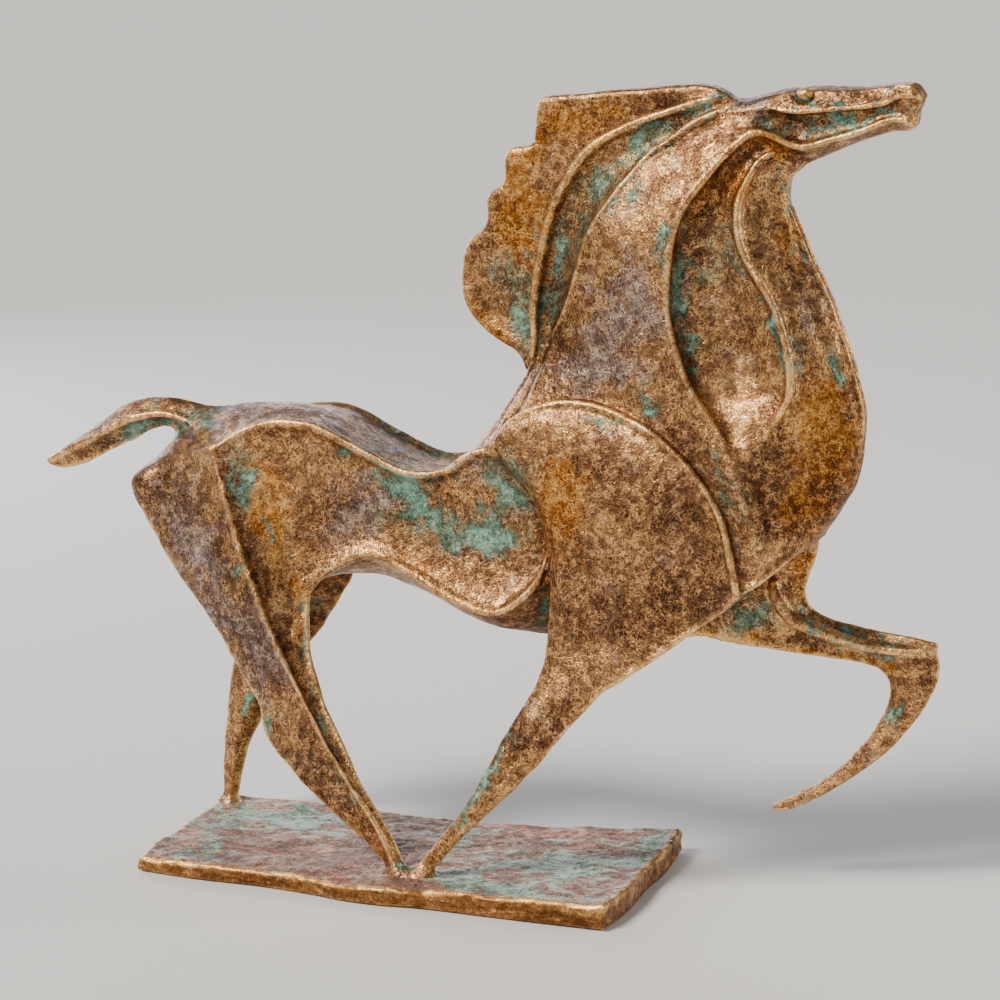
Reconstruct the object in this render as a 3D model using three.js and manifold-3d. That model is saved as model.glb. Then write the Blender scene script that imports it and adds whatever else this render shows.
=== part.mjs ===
// Abstract bronze horse on its slab plinth. Millimetres, +Z up, +X towards the head.
// The origin is the middle of the plinth's underside. The horse's near side, the one
// with the standing foreleg, faces -Y.

import * as THREE from 'three';
import { mergeVertices } from 'three/addons/utils/BufferGeometryUtils.js';
import Module from 'manifold-3d';

const wasm = await Module();
wasm.setup();

// The slab: its thickness in the middle, the slope of its top up to the head end, and
// its rounded rim, which dips by RIM_SAG near the middle of its length and levels out
// over SAG_REACH inwards.
const PLINTH_THICK = 10;
const PLINTH_RISE = THREE.MathUtils.degToRad(1.16);
const RIM_ROUND = 2;
const RIM_SAG = 1.5;
const RIM_SAG_AT = 5;
const RIM_SAG_SPREAD = 55;
const SAG_REACH = 8;

// The horse: the gap under its soles, the mane fin, and how far the shoulder plates'
// hidden inner edges lie from the middle, and forward, back and down from the outer ones.
const CASTING_GAP = 0.3;
const MANE_HALF_THICK = 6.5;
const MANE_EDGE_ROUND = 2.5;
const PLATE_INNER_Y = 14;
const PLATE_REAR_LAP = 6;
const PLATE_REAR_DROP = 1;
const PLATE_FRONT_LAP = 4;
const PLATE_FRONT_DROP = 8;

// How a swelling rounds across its strip, as a parabola or flat on top, and how tightly
// a feature line bends at its points.
const ROUND_CROWN = 2;
const FLAT_CROWN = 4;
const CURVE_TENSION = 0.5;

// Fineness of the mesh: sections from one station to the next, points along each stretch
// of the slab's outline and of the mane's curves, and what is merged or smoothed away.
const STATION_STEPS = 3;
const OUTLINE_STEPS = 2;
const MANE_CURVE_STEPS = 4;
const MANE_ROUND_STEPS = 2;
const MERGE_WITHIN = 1e-4;
const SLIVER = 0.02;

// The plinth's top rises towards the head end, and the horse is drawn square to it,
// so its soles are level here and the whole casting is tipped back by that rise.
const onSole = (x, y) => [x, y, PLINTH_THICK + CASTING_GAP];

const vector = (p) => new THREE.Vector3(...p);
const mirrored = (rail) => rail.map(([x, y, z]) => [x, -y, z]);

// A smooth line through a feature line's points, read at t from 0 to 1.
function railCurve(points) {
  return new THREE.CatmullRomCurve3(points.map(vector), false, 'catmullrom', CURVE_TENSION);
}

// A value given once, or once for each station, read at t from 0 to 1.
function along(values, t) {
  if (!Array.isArray(values)) {
    return values;
  }
  const place = t * (values.length - 1);
  const i = Math.min(Math.floor(place), values.length - 2);
  return THREE.MathUtils.lerp(values[i], values[i + 1], place - i);
}

// A closed form carried along its feature lines. Each section is the ring of the
// lines' points, and the strip from each line to the next swells out by swell[i]
// millimetres, or is hollow where that is negative. A high crown keeps a swelling
// flat on top with round shoulders. The two ends close on a point.
function loft({ rails, swell = [], cuts = [], crown = [], startCap, endCap }) {
  const curves = rails.map(railCurve);
  const spans = (rails[0].length - 1) * STATION_STEPS;
  const rings = [];
  for (let k = 0; k <= spans; k += 1) {
    const t = k / spans;
    const corners = curves.map((curve) => curve.getPoint(t));
    const ways = curves.map((curve) => curve.getTangent(t));
    rings.push(sectionRing(corners, ways, t, { swell, cuts, crown }));
  }
  return closedMesh(rings, startCap, endCap);
}

// One section: its corners, and between them the points of each swelling strip.
function sectionRing(corners, ways, t, { swell, cuts, crown }) {
  const ring = [];
  const turn = turnOf(corners, ways);
  corners.forEach((from, i) => {
    const next = (i + 1) % corners.length;
    const chord = corners[next].clone().sub(from);
    const way = ways[i].clone().add(ways[next]);
    const out = chord.clone().cross(way).normalize().multiplyScalar(turn);
    const height = along(swell[i] ?? 0, t);
    const count = cuts[i] ?? 1;
    for (let j = 0; j < count; j += 1) {
      const s = j / count;
      const rise = height * (1 - Math.abs(2 * s - 1) ** (crown[i] ?? ROUND_CROWN));
      ring.push(from.clone().addScaledVector(chord, s).addScaledVector(out, rise));
    }
  });
  return ring;
}

// 1 where the corners run anticlockwise seen against the way, and -1 otherwise.
function turnOf(corners, ways) {
  const centre = middle(corners);
  const area = new THREE.Vector3();
  corners.forEach((corner, i) => {
    const next = corners[(i + 1) % corners.length];
    area.add(corner.clone().sub(centre).cross(next.clone().sub(centre)));
  });
  return Math.sign(area.dot(middle(ways)));
}

// Skins the rings, closes both ends and turns the faces outwards.
function closedMesh(rings, startCap, endCap) {
  const count = rings[0].length;
  const points = rings.flat();
  const faces = [];
  for (let k = 0; k + 1 < rings.length; k += 1) {
    for (let i = 0; i < count; i += 1) {
      const a = k * count + i;
      const b = k * count + ((i + 1) % count);
      faces.push(a, b, b + count, a, b + count, a + count);
    }
  }
  const last = (rings.length - 1) * count;
  const start = points.push(startCap ? vector(startCap) : middle(rings[0])) - 1;
  const end = points.push(endCap ? vector(endCap) : middle(rings[rings.length - 1])) - 1;
  for (let i = 0; i < count; i += 1) {
    const next = (i + 1) % count;
    faces.push(start, next, i, end, last + i, last + next);
  }
  return facingOut(points, faces);
}

function middle(ring) {
  const sum = ring.reduce((total, p) => total.add(p), new THREE.Vector3());
  return sum.divideScalar(ring.length);
}

function facingOut(points, faces) {
  let volume = 0;
  for (let i = 0; i < faces.length; i += 3) {
    const [a, b, c] = [points[faces[i]], points[faces[i + 1]], points[faces[i + 2]]];
    volume += a.dot(b.clone().cross(c));
  }
  if (volume < 0) {
    for (let i = 0; i < faces.length; i += 3) {
      [faces[i], faces[i + 1]] = [faces[i + 1], faces[i]];
    }
  }
  const geometry = new THREE.BufferGeometry().setFromPoints(points);
  geometry.setIndex(faces);
  return geometry;
}

// Half a section, from the line over the back round the near side to the line
// below, becomes a whole one with its mirror image on the far side.
function bothSides({ rails, swell = [], cuts = [], crown = [], ...rest }) {
  const inner = rails.slice(1, -1);
  const strips = rails.length - 1;
  const whole = (list, blank) => {
    const half = Array.from({ length: strips }, (_, i) => list[i] ?? blank);
    return [...half, ...half.slice().reverse()];
  };
  return loft({
    rails: [...rails, ...inner.map(mirrored).reverse()],
    swell: whole(swell, 0),
    cuts: whole(cuts, 1),
    crown: whole(crown, ROUND_CROWN),
    ...rest,
  });
}

// Barrel: a channel along the back between two round ridges, hollow flanks, and a
// lower ridge that hooks up behind the shoulder, over a keeled belly.
const SPINE = [
  [-130, 0, 193], [-113, 0, 209.5], [-93, 0, 217], [-66, 0, 218], [-38, 0, 211.5], [-14, 0, 201.5],
  [8, 0, 195.5], [28, 0, 197], [50, 0, 212], [78, 0, 210], [120, 0, 195],
];
const BACK_RIDGE = [
  [-133.5, -12.5, 186.5], [-117, -20, 197], [-89, -29, 205], [-66, -27.5, 217], [-40, -27, 218.3],
  [-16, -26, 208.2], [8, -26, 198.3], [28, -27, 200.6], [46, -27, 211], [78, -25, 205],
  [120, -24, 190],
];
const FLANK = [
  [-132, -12, 182], [-115, -17, 184], [-86, -25, 182], [-62, -25.5, 182], [-38, -24, 183],
  [-14, -21.5, 182], [10, -20.5, 175], [32, -20.5, 169], [54, -21, 167], [76, -22, 167],
  [110, -22, 165],
];
const BELLY_RIDGE = [
  [-130, -8, 178], [-112, -10, 170], [-86, -16, 146], [-58, -23, 126], [-35, -25.5, 147],
  [-11, -24.5, 158.3], [11, -26.5, 150.3], [33, -28.5, 139.6], [55, -30, 135.4],
  [73, -29, 151], [80, -26, 175],
];
const KEEL = [
  [-129, 0, 175], [-112, 0, 165], [-88, 0, 153], [-60, 0, 146], [-36, 0, 142.5], [-12, 0, 142.8],
  [11, 0, 135.2], [33, 0, 126.4], [55, 0, 121.3], [78, 0, 120], [120, 0, 121],
];
const barrel = () => bothSides({
  rails: [SPINE, BACK_RIDGE, FLANK, BELLY_RIDGE, KEEL],
  swell: [[0, 1, 1, -1, -1.5, -1.5, -1, -1, 0, 0, 0], -1.5, -1.5, [0, 0, 0, 0, 1, 1, 1, 2, 3, 3, 3]],
  cuts: [2, 2, 2, 2],
});

// Haunches and hind legs: four edges, with a sharp ridge down the outside, a rear
// face that slants inwards and a narrower front face. Both haunches are alike above
// the groin; the near leg reaches forward and the far one stands back.
const TAPERED_SWELL = [1, 1, 1, 1, 0.8, 0.5, 0];
const nearHind = () => loft({
  rails: [
    [[-135.5, -14, 183], [-130, -16, 168], [-117, -20, 148], [-97, -25, 126], [-82, -28, 106.5],
      [-67, -33, 86.5], [-58.5, -37, 67], [-38, -41, 46], [-13, -44, 28], onSole(7, -45.5)],
    [[-88, -30, 204.5], [-81, -34, 186], [-73, -37, 163], [-61.5, -41, 137], [-50.5, -43, 113],
      [-36.5, -45, 90], [-25, -47, 71], [-11.7, -48, 50.5], [1.5, -48.5, 31],
      onSole(11.5, -49)],
    [[-62, -24, 206], [-46, -22, 190], [-40, -21.5, 165], [-41, -27.5, 138], [-38.6, -33, 112],
      [-31, -37, 89], [-20, -40, 69.7], [-8.8, -43, 49.4], [4.6, -45, 30.2],
      onSole(15.5, -46)],
    [[-100, -6, 192], [-88, -5, 165], [-78, -8, 143], [-70, -16, 128], [-60, -23, 108],
      [-49, -29, 86.5], [-40, -34, 67], [-24, -38, 47], [-4.5, -41.5, 28.5],
      onSole(11.5, -43.5)],
  ],
  swell: [
    [0, 1, 1.5, 1.5, 1, 1, 1, 0.5, 0.3, 0],
    [-0.5, -1.5, -1.5, -1.2, -1, -1.3, -1.2, -1, -0.5, 0],
    TAPERED_SWELL,
    TAPERED_SWELL,
  ],
  cuts: [3, 2, 2, 2],
});

const farHind = () => loft({
  rails: [
    [[-135.5, 14, 183], [-130, 16, 168], [-117, 21, 147], [-105, 28, 120], [-103, 36, 98],
      [-110, 41, 80], [-114, 44, 53], [-116, 45, 33], onSole(-117.5, 46)],
    [[-88, 30, 204.5], [-81, 34, 186], [-76, 37, 163], [-75, 42, 136], [-82, 46, 110],
      [-94, 48, 81], [-105, 49, 52], [-110, 49.5, 32], onSole(-113, 49)],
    [[-62, 24, 206], [-46, 22, 190], [-40, 21.5, 165], [-37, 27, 138], [-51, 33, 115],
      [-76.5, 40, 81], [-94, 43.5, 53], [-102.5, 45, 34], onSole(-108, 46)],
    [[-100, 6, 192], [-88, 5, 165], [-80, 8, 143], [-74, 16, 126], [-78, 26, 108],
      [-93, 35, 80], [-104, 39.5, 52], [-109, 41.5, 32], onSole(-112.5, 43)],
  ],
  swell: [
    [0, 1, 1.5, 1.5, 1, 1, 0.5, 0.3, 0],
    [-0.5, -1.5, -1.5, -1.2, -1, -1, -0.5, -0.5, 0],
    TAPERED_SWELL,
    TAPERED_SWELL,
  ],
  cuts: [3, 2, 2, 2],
});

// Shoulder plates: a raised shield with a round arched upper edge. The near one
// narrows into the standing foreleg.
const PLATE_REAR = [
  [47, -24, 209.5], [54, -26, 207], [62, -27, 200], [70, -28, 191], [76, -29, 178],
  [79.5, -30.5, 162], [80.3, -32, 145], [80, -33.5, 128],
];
const PLATE_ARCH = [
  [49, -24, 213], [59, -25.5, 224], [71, -26, 232], [89, -26.5, 236], [110, -28, 232.5],
  [133, -30, 221], [152, -31.5, 202.5], [165, -31.5, 172],
];
const PLATE_INNER_REAR = PLATE_REAR.map(([x, , z]) => (
  [x + PLATE_REAR_LAP, -PLATE_INNER_Y, z - PLATE_REAR_DROP]));
const PLATE_INNER_FRONT = PLATE_ARCH.map(([x, , z]) => (
  [x - PLATE_FRONT_LAP, -PLATE_INNER_Y, z - PLATE_FRONT_DROP]));
const PLATE_SWELL = [3, 4, 5, 6, 6.5, 6.5, 6, 5.5];

const nearShoulder = () => loft({
  rails: [
    [...PLATE_REAR, [78.5, -35.5, 114], [73, -38, 99.5], [61.5, -42, 79], [46.5, -44.5, 50.5],
      [31, -46, 28], onSole(17.5, -46.5)],
    [...PLATE_ARCH, [170.5, -31, 152], [142, -35, 131], [106, -39, 102], [72, -43.5, 61],
      [46, -45.5, 33.8], onSole(25.5, -46.5)],
    [...PLATE_INNER_FRONT, [160, -16, 150], [133, -25, 133], [102, -31, 103], [69, -38, 61.5],
      [44, -41, 34], onSole(25, -44)],
    [...PLATE_INNER_REAR, [84, -18, 116], [78, -26, 102], [65, -33, 80], [48.5, -38.5, 51],
      [32.5, -41.5, 28], onSole(18.5, -44)],
  ],
  swell: [[...PLATE_SWELL, 4.5, 4, 3.5, 2.5, 2, 0], 0, [0, 0, 0, 0, 0, 0, 0, 0, 0, 1, 1, 1, 1, 0]],
  cuts: [8, 1, 2, 1],
  crown: [FLAT_CROWN],
});

const farShoulder = () => loft({
  rails: [
    [...PLATE_REAR, [88, -31, 115]],
    [...PLATE_ARCH, [168, -32, 140]],
    [...PLATE_INNER_FRONT, [150, -14, 135]],
    [...PLATE_INNER_REAR, [92, -14, 119]],
  ].map(mirrored),
  swell: [[...PLATE_SWELL, 3]],
  cuts: [8, 1, 2, 1],
  crown: [FLAT_CROWN],
});

// Raised far foreleg: a forearm with a round ridge along its inner side between
// two hollow faces, then a cannon bone like a curved tusk.
const forearm = () => loft({
  rails: [
    [[165, 30, 186], [194, 33, 166], [187.5, 35, 150], [185, 37, 139], [190, 38, 130.7],
      [203, 38, 126], [220, 38, 123], [238, 38, 121], [249, 38.5, 118.5]],
    [[120, 20, 142], [160, 26, 148], [173.5, 28.5, 143], [174, 29, 135], [183, 30.5, 127.5],
      [200, 32, 119], [217, 33.3, 115.3], [235, 34, 115.3], [247, 36, 117]],
    [[100, 26, 116], [132, 29, 115.2], [150, 32, 112.7], [165, 34, 111.6], [181, 36, 110.5],
      [198, 37, 109], [213, 38, 107.3], [229, 38, 104.5], [245, 38.5, 109]],
    [[120, 38, 142], [165, 41, 140], [176, 43, 134], [178, 44, 127], [187, 44.5, 120],
      [201, 44.5, 117], [218, 44, 115], [236, 43.5, 113.5], [248, 41, 115]],
  ],
  swell: [-1.2, -1.2, 1.5, 1.5],
  cuts: [3, 3, 2, 2],
});

const cannon = () => {
  const inside = [
    [222, 38, 108], [226, 38, 98.5], [225, 38, 89], [220, 37.7, 77], [212, 37.3, 66],
    [202, 36.8, 55], [190, 36.2, 46], [178, 35.6, 39.3], [172, 35.2, 36.3],
  ];
  const outside = [
    [248, 38, 120], [251, 38, 109], [248.5, 38, 97], [241.3, 37.7, 83.5], [230, 37.3, 69],
    [216.5, 36.8, 57], [201.5, 36.2, 45.8], [184.5, 35.6, 35.5], [173.5, 35.2, 32.8],
  ];
  const halfThick = [5.2, 5.4, 5.2, 4.8, 4.4, 4, 3.4, 2.6, 1.2];
  const between = (side) => inside.map(([x, y, z], i) => {
    const [u, , w] = outside[i];
    return [(x + u) / 2, y + side * halfThick[i], (z + w) / 2];
  });
  return loft({
    rails: [inside, between(-1), outside, between(1)],
    swell: [0.8, 0.8, 0.8, 0.8],
    cuts: [2, 2, 2, 2],
    endCap: [171.5, 35, 34],
  });
};

// Neck and chest: a flat blade. From back to front the lines are the nape, the
// crest, the channel, its front edge, the smooth field, the main ridge, the foot of
// the long bowl, the raised cord, the foot of the cord, the throat and the keel.
const neck = () => bothSides({
  rails: [
    [[45, 0, 150], [32, 0, 182], [34, 0, 206], [47, 0, 224.5], [62, 0, 246], [68, 0, 282],
      [74, 0, 311], [84, 0, 334], [104, 0, 356], [143, 0, 371], [160, 0, 373]],
    [[52, -17, 150], [45, -17, 182], [39, -12, 206.5], [50, -11, 225.5], [65.5, -11, 254],
      [66.5, -12, 282], [71.5, -12, 311], [79, -12, 331], [97, -11, 354.5], [141, -8, 372.5],
      [160, -4, 372]],
    [[60, -21, 150], [55, -22, 182], [46, -21, 207], [55, -18, 227], [69.5, -10.5, 256],
      [75, -8, 282], [82, -8, 310.5], [91, -8.5, 329.5], [108.5, -8, 350], [144, -6.5, 368],
      [161, -5, 369.5]],
    [[88, -23, 150], [78, -24.5, 182], [61, -26, 207], [64, -23, 228], [74.5, -14.5, 257.5],
      [85, -18, 282], [94, -19, 310.5], [104, -18.5, 327.5], [122, -16, 346], [149, -12, 362.7],
      [162, -8, 367]],
    [[120, -26, 150], [118, -26.5, 182], [115, -27, 205], [110, -27, 228], [108, -26, 253],
      [110, -26, 281], [115, -25.5, 308], [123, -22.5, 326], [139, -19, 345], [158, -15, 359.5],
      [167, -10.5, 363]],
    [[170.6, -31, 152], [178.5, -30.5, 181], [171, -29.5, 205], [159, -29, 226.5],
      [143.5, -29, 250], [134.7, -29, 280], [135.5, -28, 308], [141, -25.5, 327.5],
      [155, -21, 346.5], [166.5, -17, 357.8], [174, -13.5, 359]],
    [[175, -31, 154.7], [183.5, -28.5, 182], [176, -27.5, 205], [166, -25.5, 225.5],
      [151, -20, 249.5], [142, -19.5, 279], [142.3, -19, 306], [147.5, -18, 325],
      [160, -16, 342], [170, -13, 352.5], [176, -11, 356]],
    [[180, -30, 158], [190, -26.5, 183.5], [187, -25.5, 205], [180, -25.5, 223.5],
      [191, -24, 247], [184.5, -23, 280], [167.7, -21, 308], [164.6, -19, 327.3],
      [170.5, -16.3, 343.7], [175.7, -14, 350.2], [180, -12.5, 352.5]],
    [[184, -27.5, 162.5], [194, -24, 184.5], [193, -22.5, 205], [190, -21.5, 222.5],
      [197, -19.5, 245], [189.5, -18.5, 279], [172.7, -17, 308], [169, -15.5, 327],
      [174, -13, 342], [178.3, -11.5, 347.7], [182.5, -10.5, 349.5]],
    [[192.5, -20, 170.5], [203, -16, 187], [209, -14, 204], [210, -13, 222], [209, -11.5, 242.5],
      [199, -11, 276.5], [183, -10, 306.5], [177, -9.5, 326], [179.5, -8.5, 340.5],
      [182.5, -7.5, 345], [186.5, -7, 346.5]],
    [[202.6, 0, 177], [211.5, 0, 190], [218.7, 0, 203], [221, 0, 220.5], [218.7, 0, 241],
      [207.3, 0, 276.5], [193, 0, 307.5], [185.3, 0, 326], [184.5, 0, 339], [187.5, 0, 343],
      [190.5, 0, 344.5]],
  ],
  swell: [0, 0, 0, 1, 1, 0, -1, 0, 0.5, 2],
  cuts: [1, 1, 1, 2, 2, 1, 3, 1, 1, 2],
  startCap: [140, 0, 132],
});

// Head: a flat-topped wedge with a cheek ridge and a jaw ridge on either side of a
// long recess, ending in a small flared muzzle with a chamfered front.
const head = () => bothSides({
  rails: [
    [[152, 0, 373.5], [164, 0, 375.2], [178, 0, 379.2], [188, 0, 381], [203, 0, 381.6],
      [217, 0, 382], [229, 0, 383.2], [236, 0, 384], [241, 0, 383.5], [244, 0, 380]],
    [[152, -5, 372.5], [164, -7, 374.2], [178, -8, 377.5], [188, -8.5, 379], [203, -8, 379.8],
      [217, -7.5, 380.5], [229, -7, 382], [235.5, -8, 383.3], [240.5, -8.5, 383],
      [244, -6.5, 379.5]],
    [[154, -10, 368], [165, -12, 370.5], [177, -12, 371.5], [189, -12, 370.5], [203, -11, 371.7],
      [217, -9.7, 373], [228.5, -8.5, 375], [235, -9, 378], [241.3, -9.2, 378.5],
      [245, -7, 377]],
    [[154, -11, 364], [165, -12, 366], [178, -9, 366], [190, -8, 363], [204, -7, 365],
      [217, -6, 367.5], [228, -6, 370.5], [234, -7.3, 373], [241, -8.3, 373], [244, -6.5, 373.5]],
    [[154, -13, 360], [165, -14, 361.5], [180, -14, 359.5], [192, -12.5, 355], [205, -11, 358.4],
      [217, -9.5, 362], [228, -8.3, 366.5], [234, -8, 367.8], [239.5, -7.8, 366.5],
      [242, -6, 369]],
    [[162, 0, 346], [176, 0, 344], [186, 0, 343], [194, 0, 347.3], [205, 0, 352.2],
      [217, 0, 357.4], [228.5, 0, 361.4], [235, 0, 362.2], [239.5, 0, 362.4], [241.8, 0, 364.7]],
  ],
  swell: [0, 0.3, -0.5, -0.5, 0.8],
  cuts: [1, 2, 2, 2, 2],
});

// Tail: an arched spike with a ridge along each side and a hollow lower face.
const tail = () => bothSides({
  rails: [
    [[-88, 0, 213], [-103, 0, 220.3], [-118, 0, 223.5], [-133, 0, 223], [-147, 0, 218.5],
      [-160, 0, 209.3], [-173, 0, 199.6], [-183, 0, 192.7], [-187.3, 0, 189.7]],
    [[-92, -8, 207], [-106, -8, 212], [-119, -8.3, 216.3], [-132, -8.3, 215.6],
      [-145, -7.8, 211], [-157.5, -6.7, 204], [-171, -4.8, 197], [-182, -3, 191.3],
      [-187.3, -1.2, 188.5]],
    [[-98, 0, 200], [-110, 0, 206], [-120, 0, 209], [-132, 0, 206.7], [-143, 0, 201],
      [-155, 0, 193.6], [-168, 0, 187.4], [-180, 0, 184.6], [-186.3, 0, 186.3]],
  ],
  swell: [1, [0, 0, -1, -1.2, -1.2, -1, -0.6, -0.2, 0]],
  cuts: [2, 2],
});

// Mane: an upright fin with three scalloped steps up its rear edge and a long top
// edge that runs out to the poll.
function maneFin() {
  const shape = new THREE.Shape();
  shape.moveTo(74, 252);
  shape.lineTo(60, 247);
  shape.quadraticCurveTo(59, 254.5, 52, 257.5);
  shape.bezierCurveTo(36, 265, 28.5, 275, 28.7, 290);
  shape.bezierCurveTo(29, 300, 31, 306, 35.5, 309);
  shape.bezierCurveTo(41, 312, 42.5, 317, 41, 325);
  shape.quadraticCurveTo(41.5, 328.5, 46, 330.5);
  shape.bezierCurveTo(51.5, 333, 50.5, 339, 50, 343);
  shape.quadraticCurveTo(50, 350.5, 57, 350.7);
  shape.quadraticCurveTo(64, 350.5, 64.3, 355);
  shape.lineTo(65.2, 368);
  shape.quadraticCurveTo(65.5, 373.3, 70, 374);
  shape.lineTo(139, 381);
  shape.quadraticCurveTo(151, 382, 158.5, 374);
  shape.lineTo(140, 364);
  shape.lineTo(104, 348);
  shape.lineTo(84, 320);
  return shape;
}

const mane = () => {
  const geometry = new THREE.ExtrudeGeometry(maneFin(), {
    depth: 2 * (MANE_HALF_THICK - MANE_EDGE_ROUND),
    curveSegments: MANE_CURVE_STEPS,
    bevelThickness: MANE_EDGE_ROUND,
    bevelSize: MANE_EDGE_ROUND,
    bevelOffset: -MANE_EDGE_ROUND,
    bevelSegments: MANE_ROUND_STEPS,
  });
  geometry.translate(0, 0, -(MANE_HALF_THICK - MANE_EDGE_ROUND));
  geometry.rotateX(Math.PI / 2);
  return geometry;
};

// Plinth: a hand-made slab with wavy sides and round rims, flat below.
const PLINTH_SIDES = [
  [[-118, -59], [-88, -62], [-56, -61.5], [-30, -64], [-10, -68], [8, -68.5], [30, -66],
    [70, -66.5], [118, -66]],
  [[118, -66], [121, -36], [120, 0], [121, 32], [118, 69]],
  [[118, 69], [88, 62], [52, 56], [12, 54], [-24, 55], [-66, 59], [-118, 58]],
  [[-118, 58], [-120, 20], [-119, -8], [-120, -36], [-118, -59]],
];

function plinthOutline() {
  return PLINTH_SIDES.flatMap((side) => {
    const curve = new THREE.CatmullRomCurve3(side.map(([x, y]) => new THREE.Vector3(x, y, 0)));
    return curve.getPoints((side.length - 1) * OUTLINE_STEPS).slice(0, -1);
  });
}

// The outline drawn in by a distance, each point along its own normal.
function drawnIn(outline, distance) {
  return outline.map((point, i) => {
    const before = outline[(i + outline.length - 1) % outline.length];
    const after = outline[(i + 1) % outline.length];
    const way = after.clone().sub(before).normalize();
    return new THREE.Vector3(point.x - way.y * distance, point.y + way.x * distance, 0);
  });
}

const plinthSlab = () => {
  const outline = plinthOutline();
  const midRound = RIM_ROUND * (1 - Math.SQRT1_2);
  const topAt = (x) => PLINTH_THICK + x * Math.tan(PLINTH_RISE);
  const sagAt = (x) => RIM_SAG * Math.exp(-(((x - RIM_SAG_AT) / RIM_SAG_SPREAD) ** 2));
  const rimAt = (x) => topAt(x) - sagAt(x);
  const layer = (inset, height) => drawnIn(outline, inset)
    .map((point) => point.setZ(height(point.x)));
  const rings = [
    layer(RIM_ROUND, () => 0),
    layer(midRound, () => midRound),
    layer(0, () => RIM_ROUND),
    layer(0, (x) => rimAt(x) - RIM_ROUND),
    layer(midRound, (x) => rimAt(x) - midRound),
    layer(RIM_ROUND, rimAt),
    layer(RIM_ROUND + SAG_REACH, topAt),
  ];
  return closedMesh(rings, [0, 0, 0], [0, 0, topAt(0)]);
};

// Joins and mesh conversion
function solid(geometry) {
  const bare = geometry.clone();
  bare.deleteAttribute('normal');
  bare.deleteAttribute('uv');
  const merged = mergeVertices(bare, MERGE_WITHIN);
  return new wasm.Manifold(new wasm.Mesh({
    numProp: 3,
    vertProperties: new Float32Array(merged.attributes.position.array),
    triVerts: new Uint32Array(merged.index.array),
  }));
}

function geometryOf(manifold) {
  const { vertProperties, triVerts } = manifold.getMesh();
  const geometry = new THREE.BufferGeometry();
  geometry.setAttribute('position', new THREE.BufferAttribute(vertProperties, 3));
  geometry.setIndex(new THREE.BufferAttribute(triVerts, 1));
  geometry.computeVertexNormals();
  return geometry;
}

const forms = [
  barrel, nearHind, farHind, nearShoulder, farShoulder, forearm, cannon, neck, head, tail, mane,
];
const casting = forms
  .map((form) => solid(form()))
  .reduce((whole, form) => whole.add(form))
  .simplify(SLIVER);

const bronze = new THREE.MeshStandardMaterial({
  name: 'patinated bronze', color: 0x7d5a3c, roughness: 0.45, metalness: 0.8,
});
const plinthBronze = new THREE.MeshStandardMaterial({
  name: 'verdigris bronze', color: 0x77695a, roughness: 0.55, metalness: 0.7,
});

const sculpture = new THREE.Group();
sculpture.name = 'abstract_horse';

const horse = new THREE.Mesh(geometryOf(casting), bronze);
horse.name = 'horse';
horse.rotation.y = -PLINTH_RISE;
sculpture.add(horse);

const plinth = new THREE.Mesh(plinthSlab(), plinthBronze);
plinth.name = 'plinth';
sculpture.add(plinth);

export default sculpture;
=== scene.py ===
"""A stylised bronze horse in mid stride on its slab, with worn ridges and verdigris."""

import math

import bpy
import numpy as np
import openvdb
from mathutils import Matrix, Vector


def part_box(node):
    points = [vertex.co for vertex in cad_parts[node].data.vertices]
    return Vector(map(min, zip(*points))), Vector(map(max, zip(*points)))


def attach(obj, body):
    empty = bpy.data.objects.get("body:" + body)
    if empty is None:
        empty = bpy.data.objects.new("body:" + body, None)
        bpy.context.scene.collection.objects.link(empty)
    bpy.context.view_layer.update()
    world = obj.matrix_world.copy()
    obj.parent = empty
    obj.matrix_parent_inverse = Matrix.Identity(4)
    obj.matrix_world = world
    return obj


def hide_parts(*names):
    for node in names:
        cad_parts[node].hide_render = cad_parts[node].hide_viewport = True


bl_info = {
    "name": "Bronze Horse",
    "version": (1, 0, 0),
    "blender": (4, 5, 0),
    "location": "View3D > Sidebar > Bronze Horse",
    "description": "Sculpts and patinates an abstract bronze horse on its slab plinth",
    "category": "Add Mesh",
}

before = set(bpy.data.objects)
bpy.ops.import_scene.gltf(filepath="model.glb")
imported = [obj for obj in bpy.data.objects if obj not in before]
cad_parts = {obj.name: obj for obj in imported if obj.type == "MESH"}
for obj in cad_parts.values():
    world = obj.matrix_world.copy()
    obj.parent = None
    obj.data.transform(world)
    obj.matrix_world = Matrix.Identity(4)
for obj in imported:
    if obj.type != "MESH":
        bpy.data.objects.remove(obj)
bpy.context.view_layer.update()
HORSE_LOW, HORSE_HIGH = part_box("horse")

# The sculpture is drawn in millimetres on a level slab top at SOLE height, and then
# tipped back by RISE, because the real slab's top climbs towards the head end.
MM = 0.001
RISE = math.radians(1.16)
SOLE = 10.3
TIP = np.array([
    [math.cos(RISE), 0, -math.sin(RISE)],
    [0, 1, 0],
    [math.sin(RISE), 0, math.cos(RISE)],
])

# The near side and the far side, as the sign of y, and two numbers that keep a division
# from being by zero.
NEAR_AND_FAR = (-1, 1)
TINY = 1e-9
TINIER = 1e-12

# The camera, in the level drawing frame: its turn and tilt, the picture's width and its
# focal length in pixels, its distance, the point at the middle of the picture, and the
# width of its sensor, which only sets the unit of the lens.
CAMERA_YAW = math.radians(18.2)
CAMERA_PITCH = math.radians(10.9)
PICTURE = 1000
FOCAL = 3600
CAMERA_DISTANCE = 1700
CAMERA_TARGET = np.array([46.0, 0.0, 183.0])
SENSOR = 36.0

# Every form below is a set of lines, each a list of places in mm. Where its swell is
# given, that is how far the strip after each line rises from its chord, in mm: one
# number, or a list spread evenly along the lines. Strips that it leaves out are flat.

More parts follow.
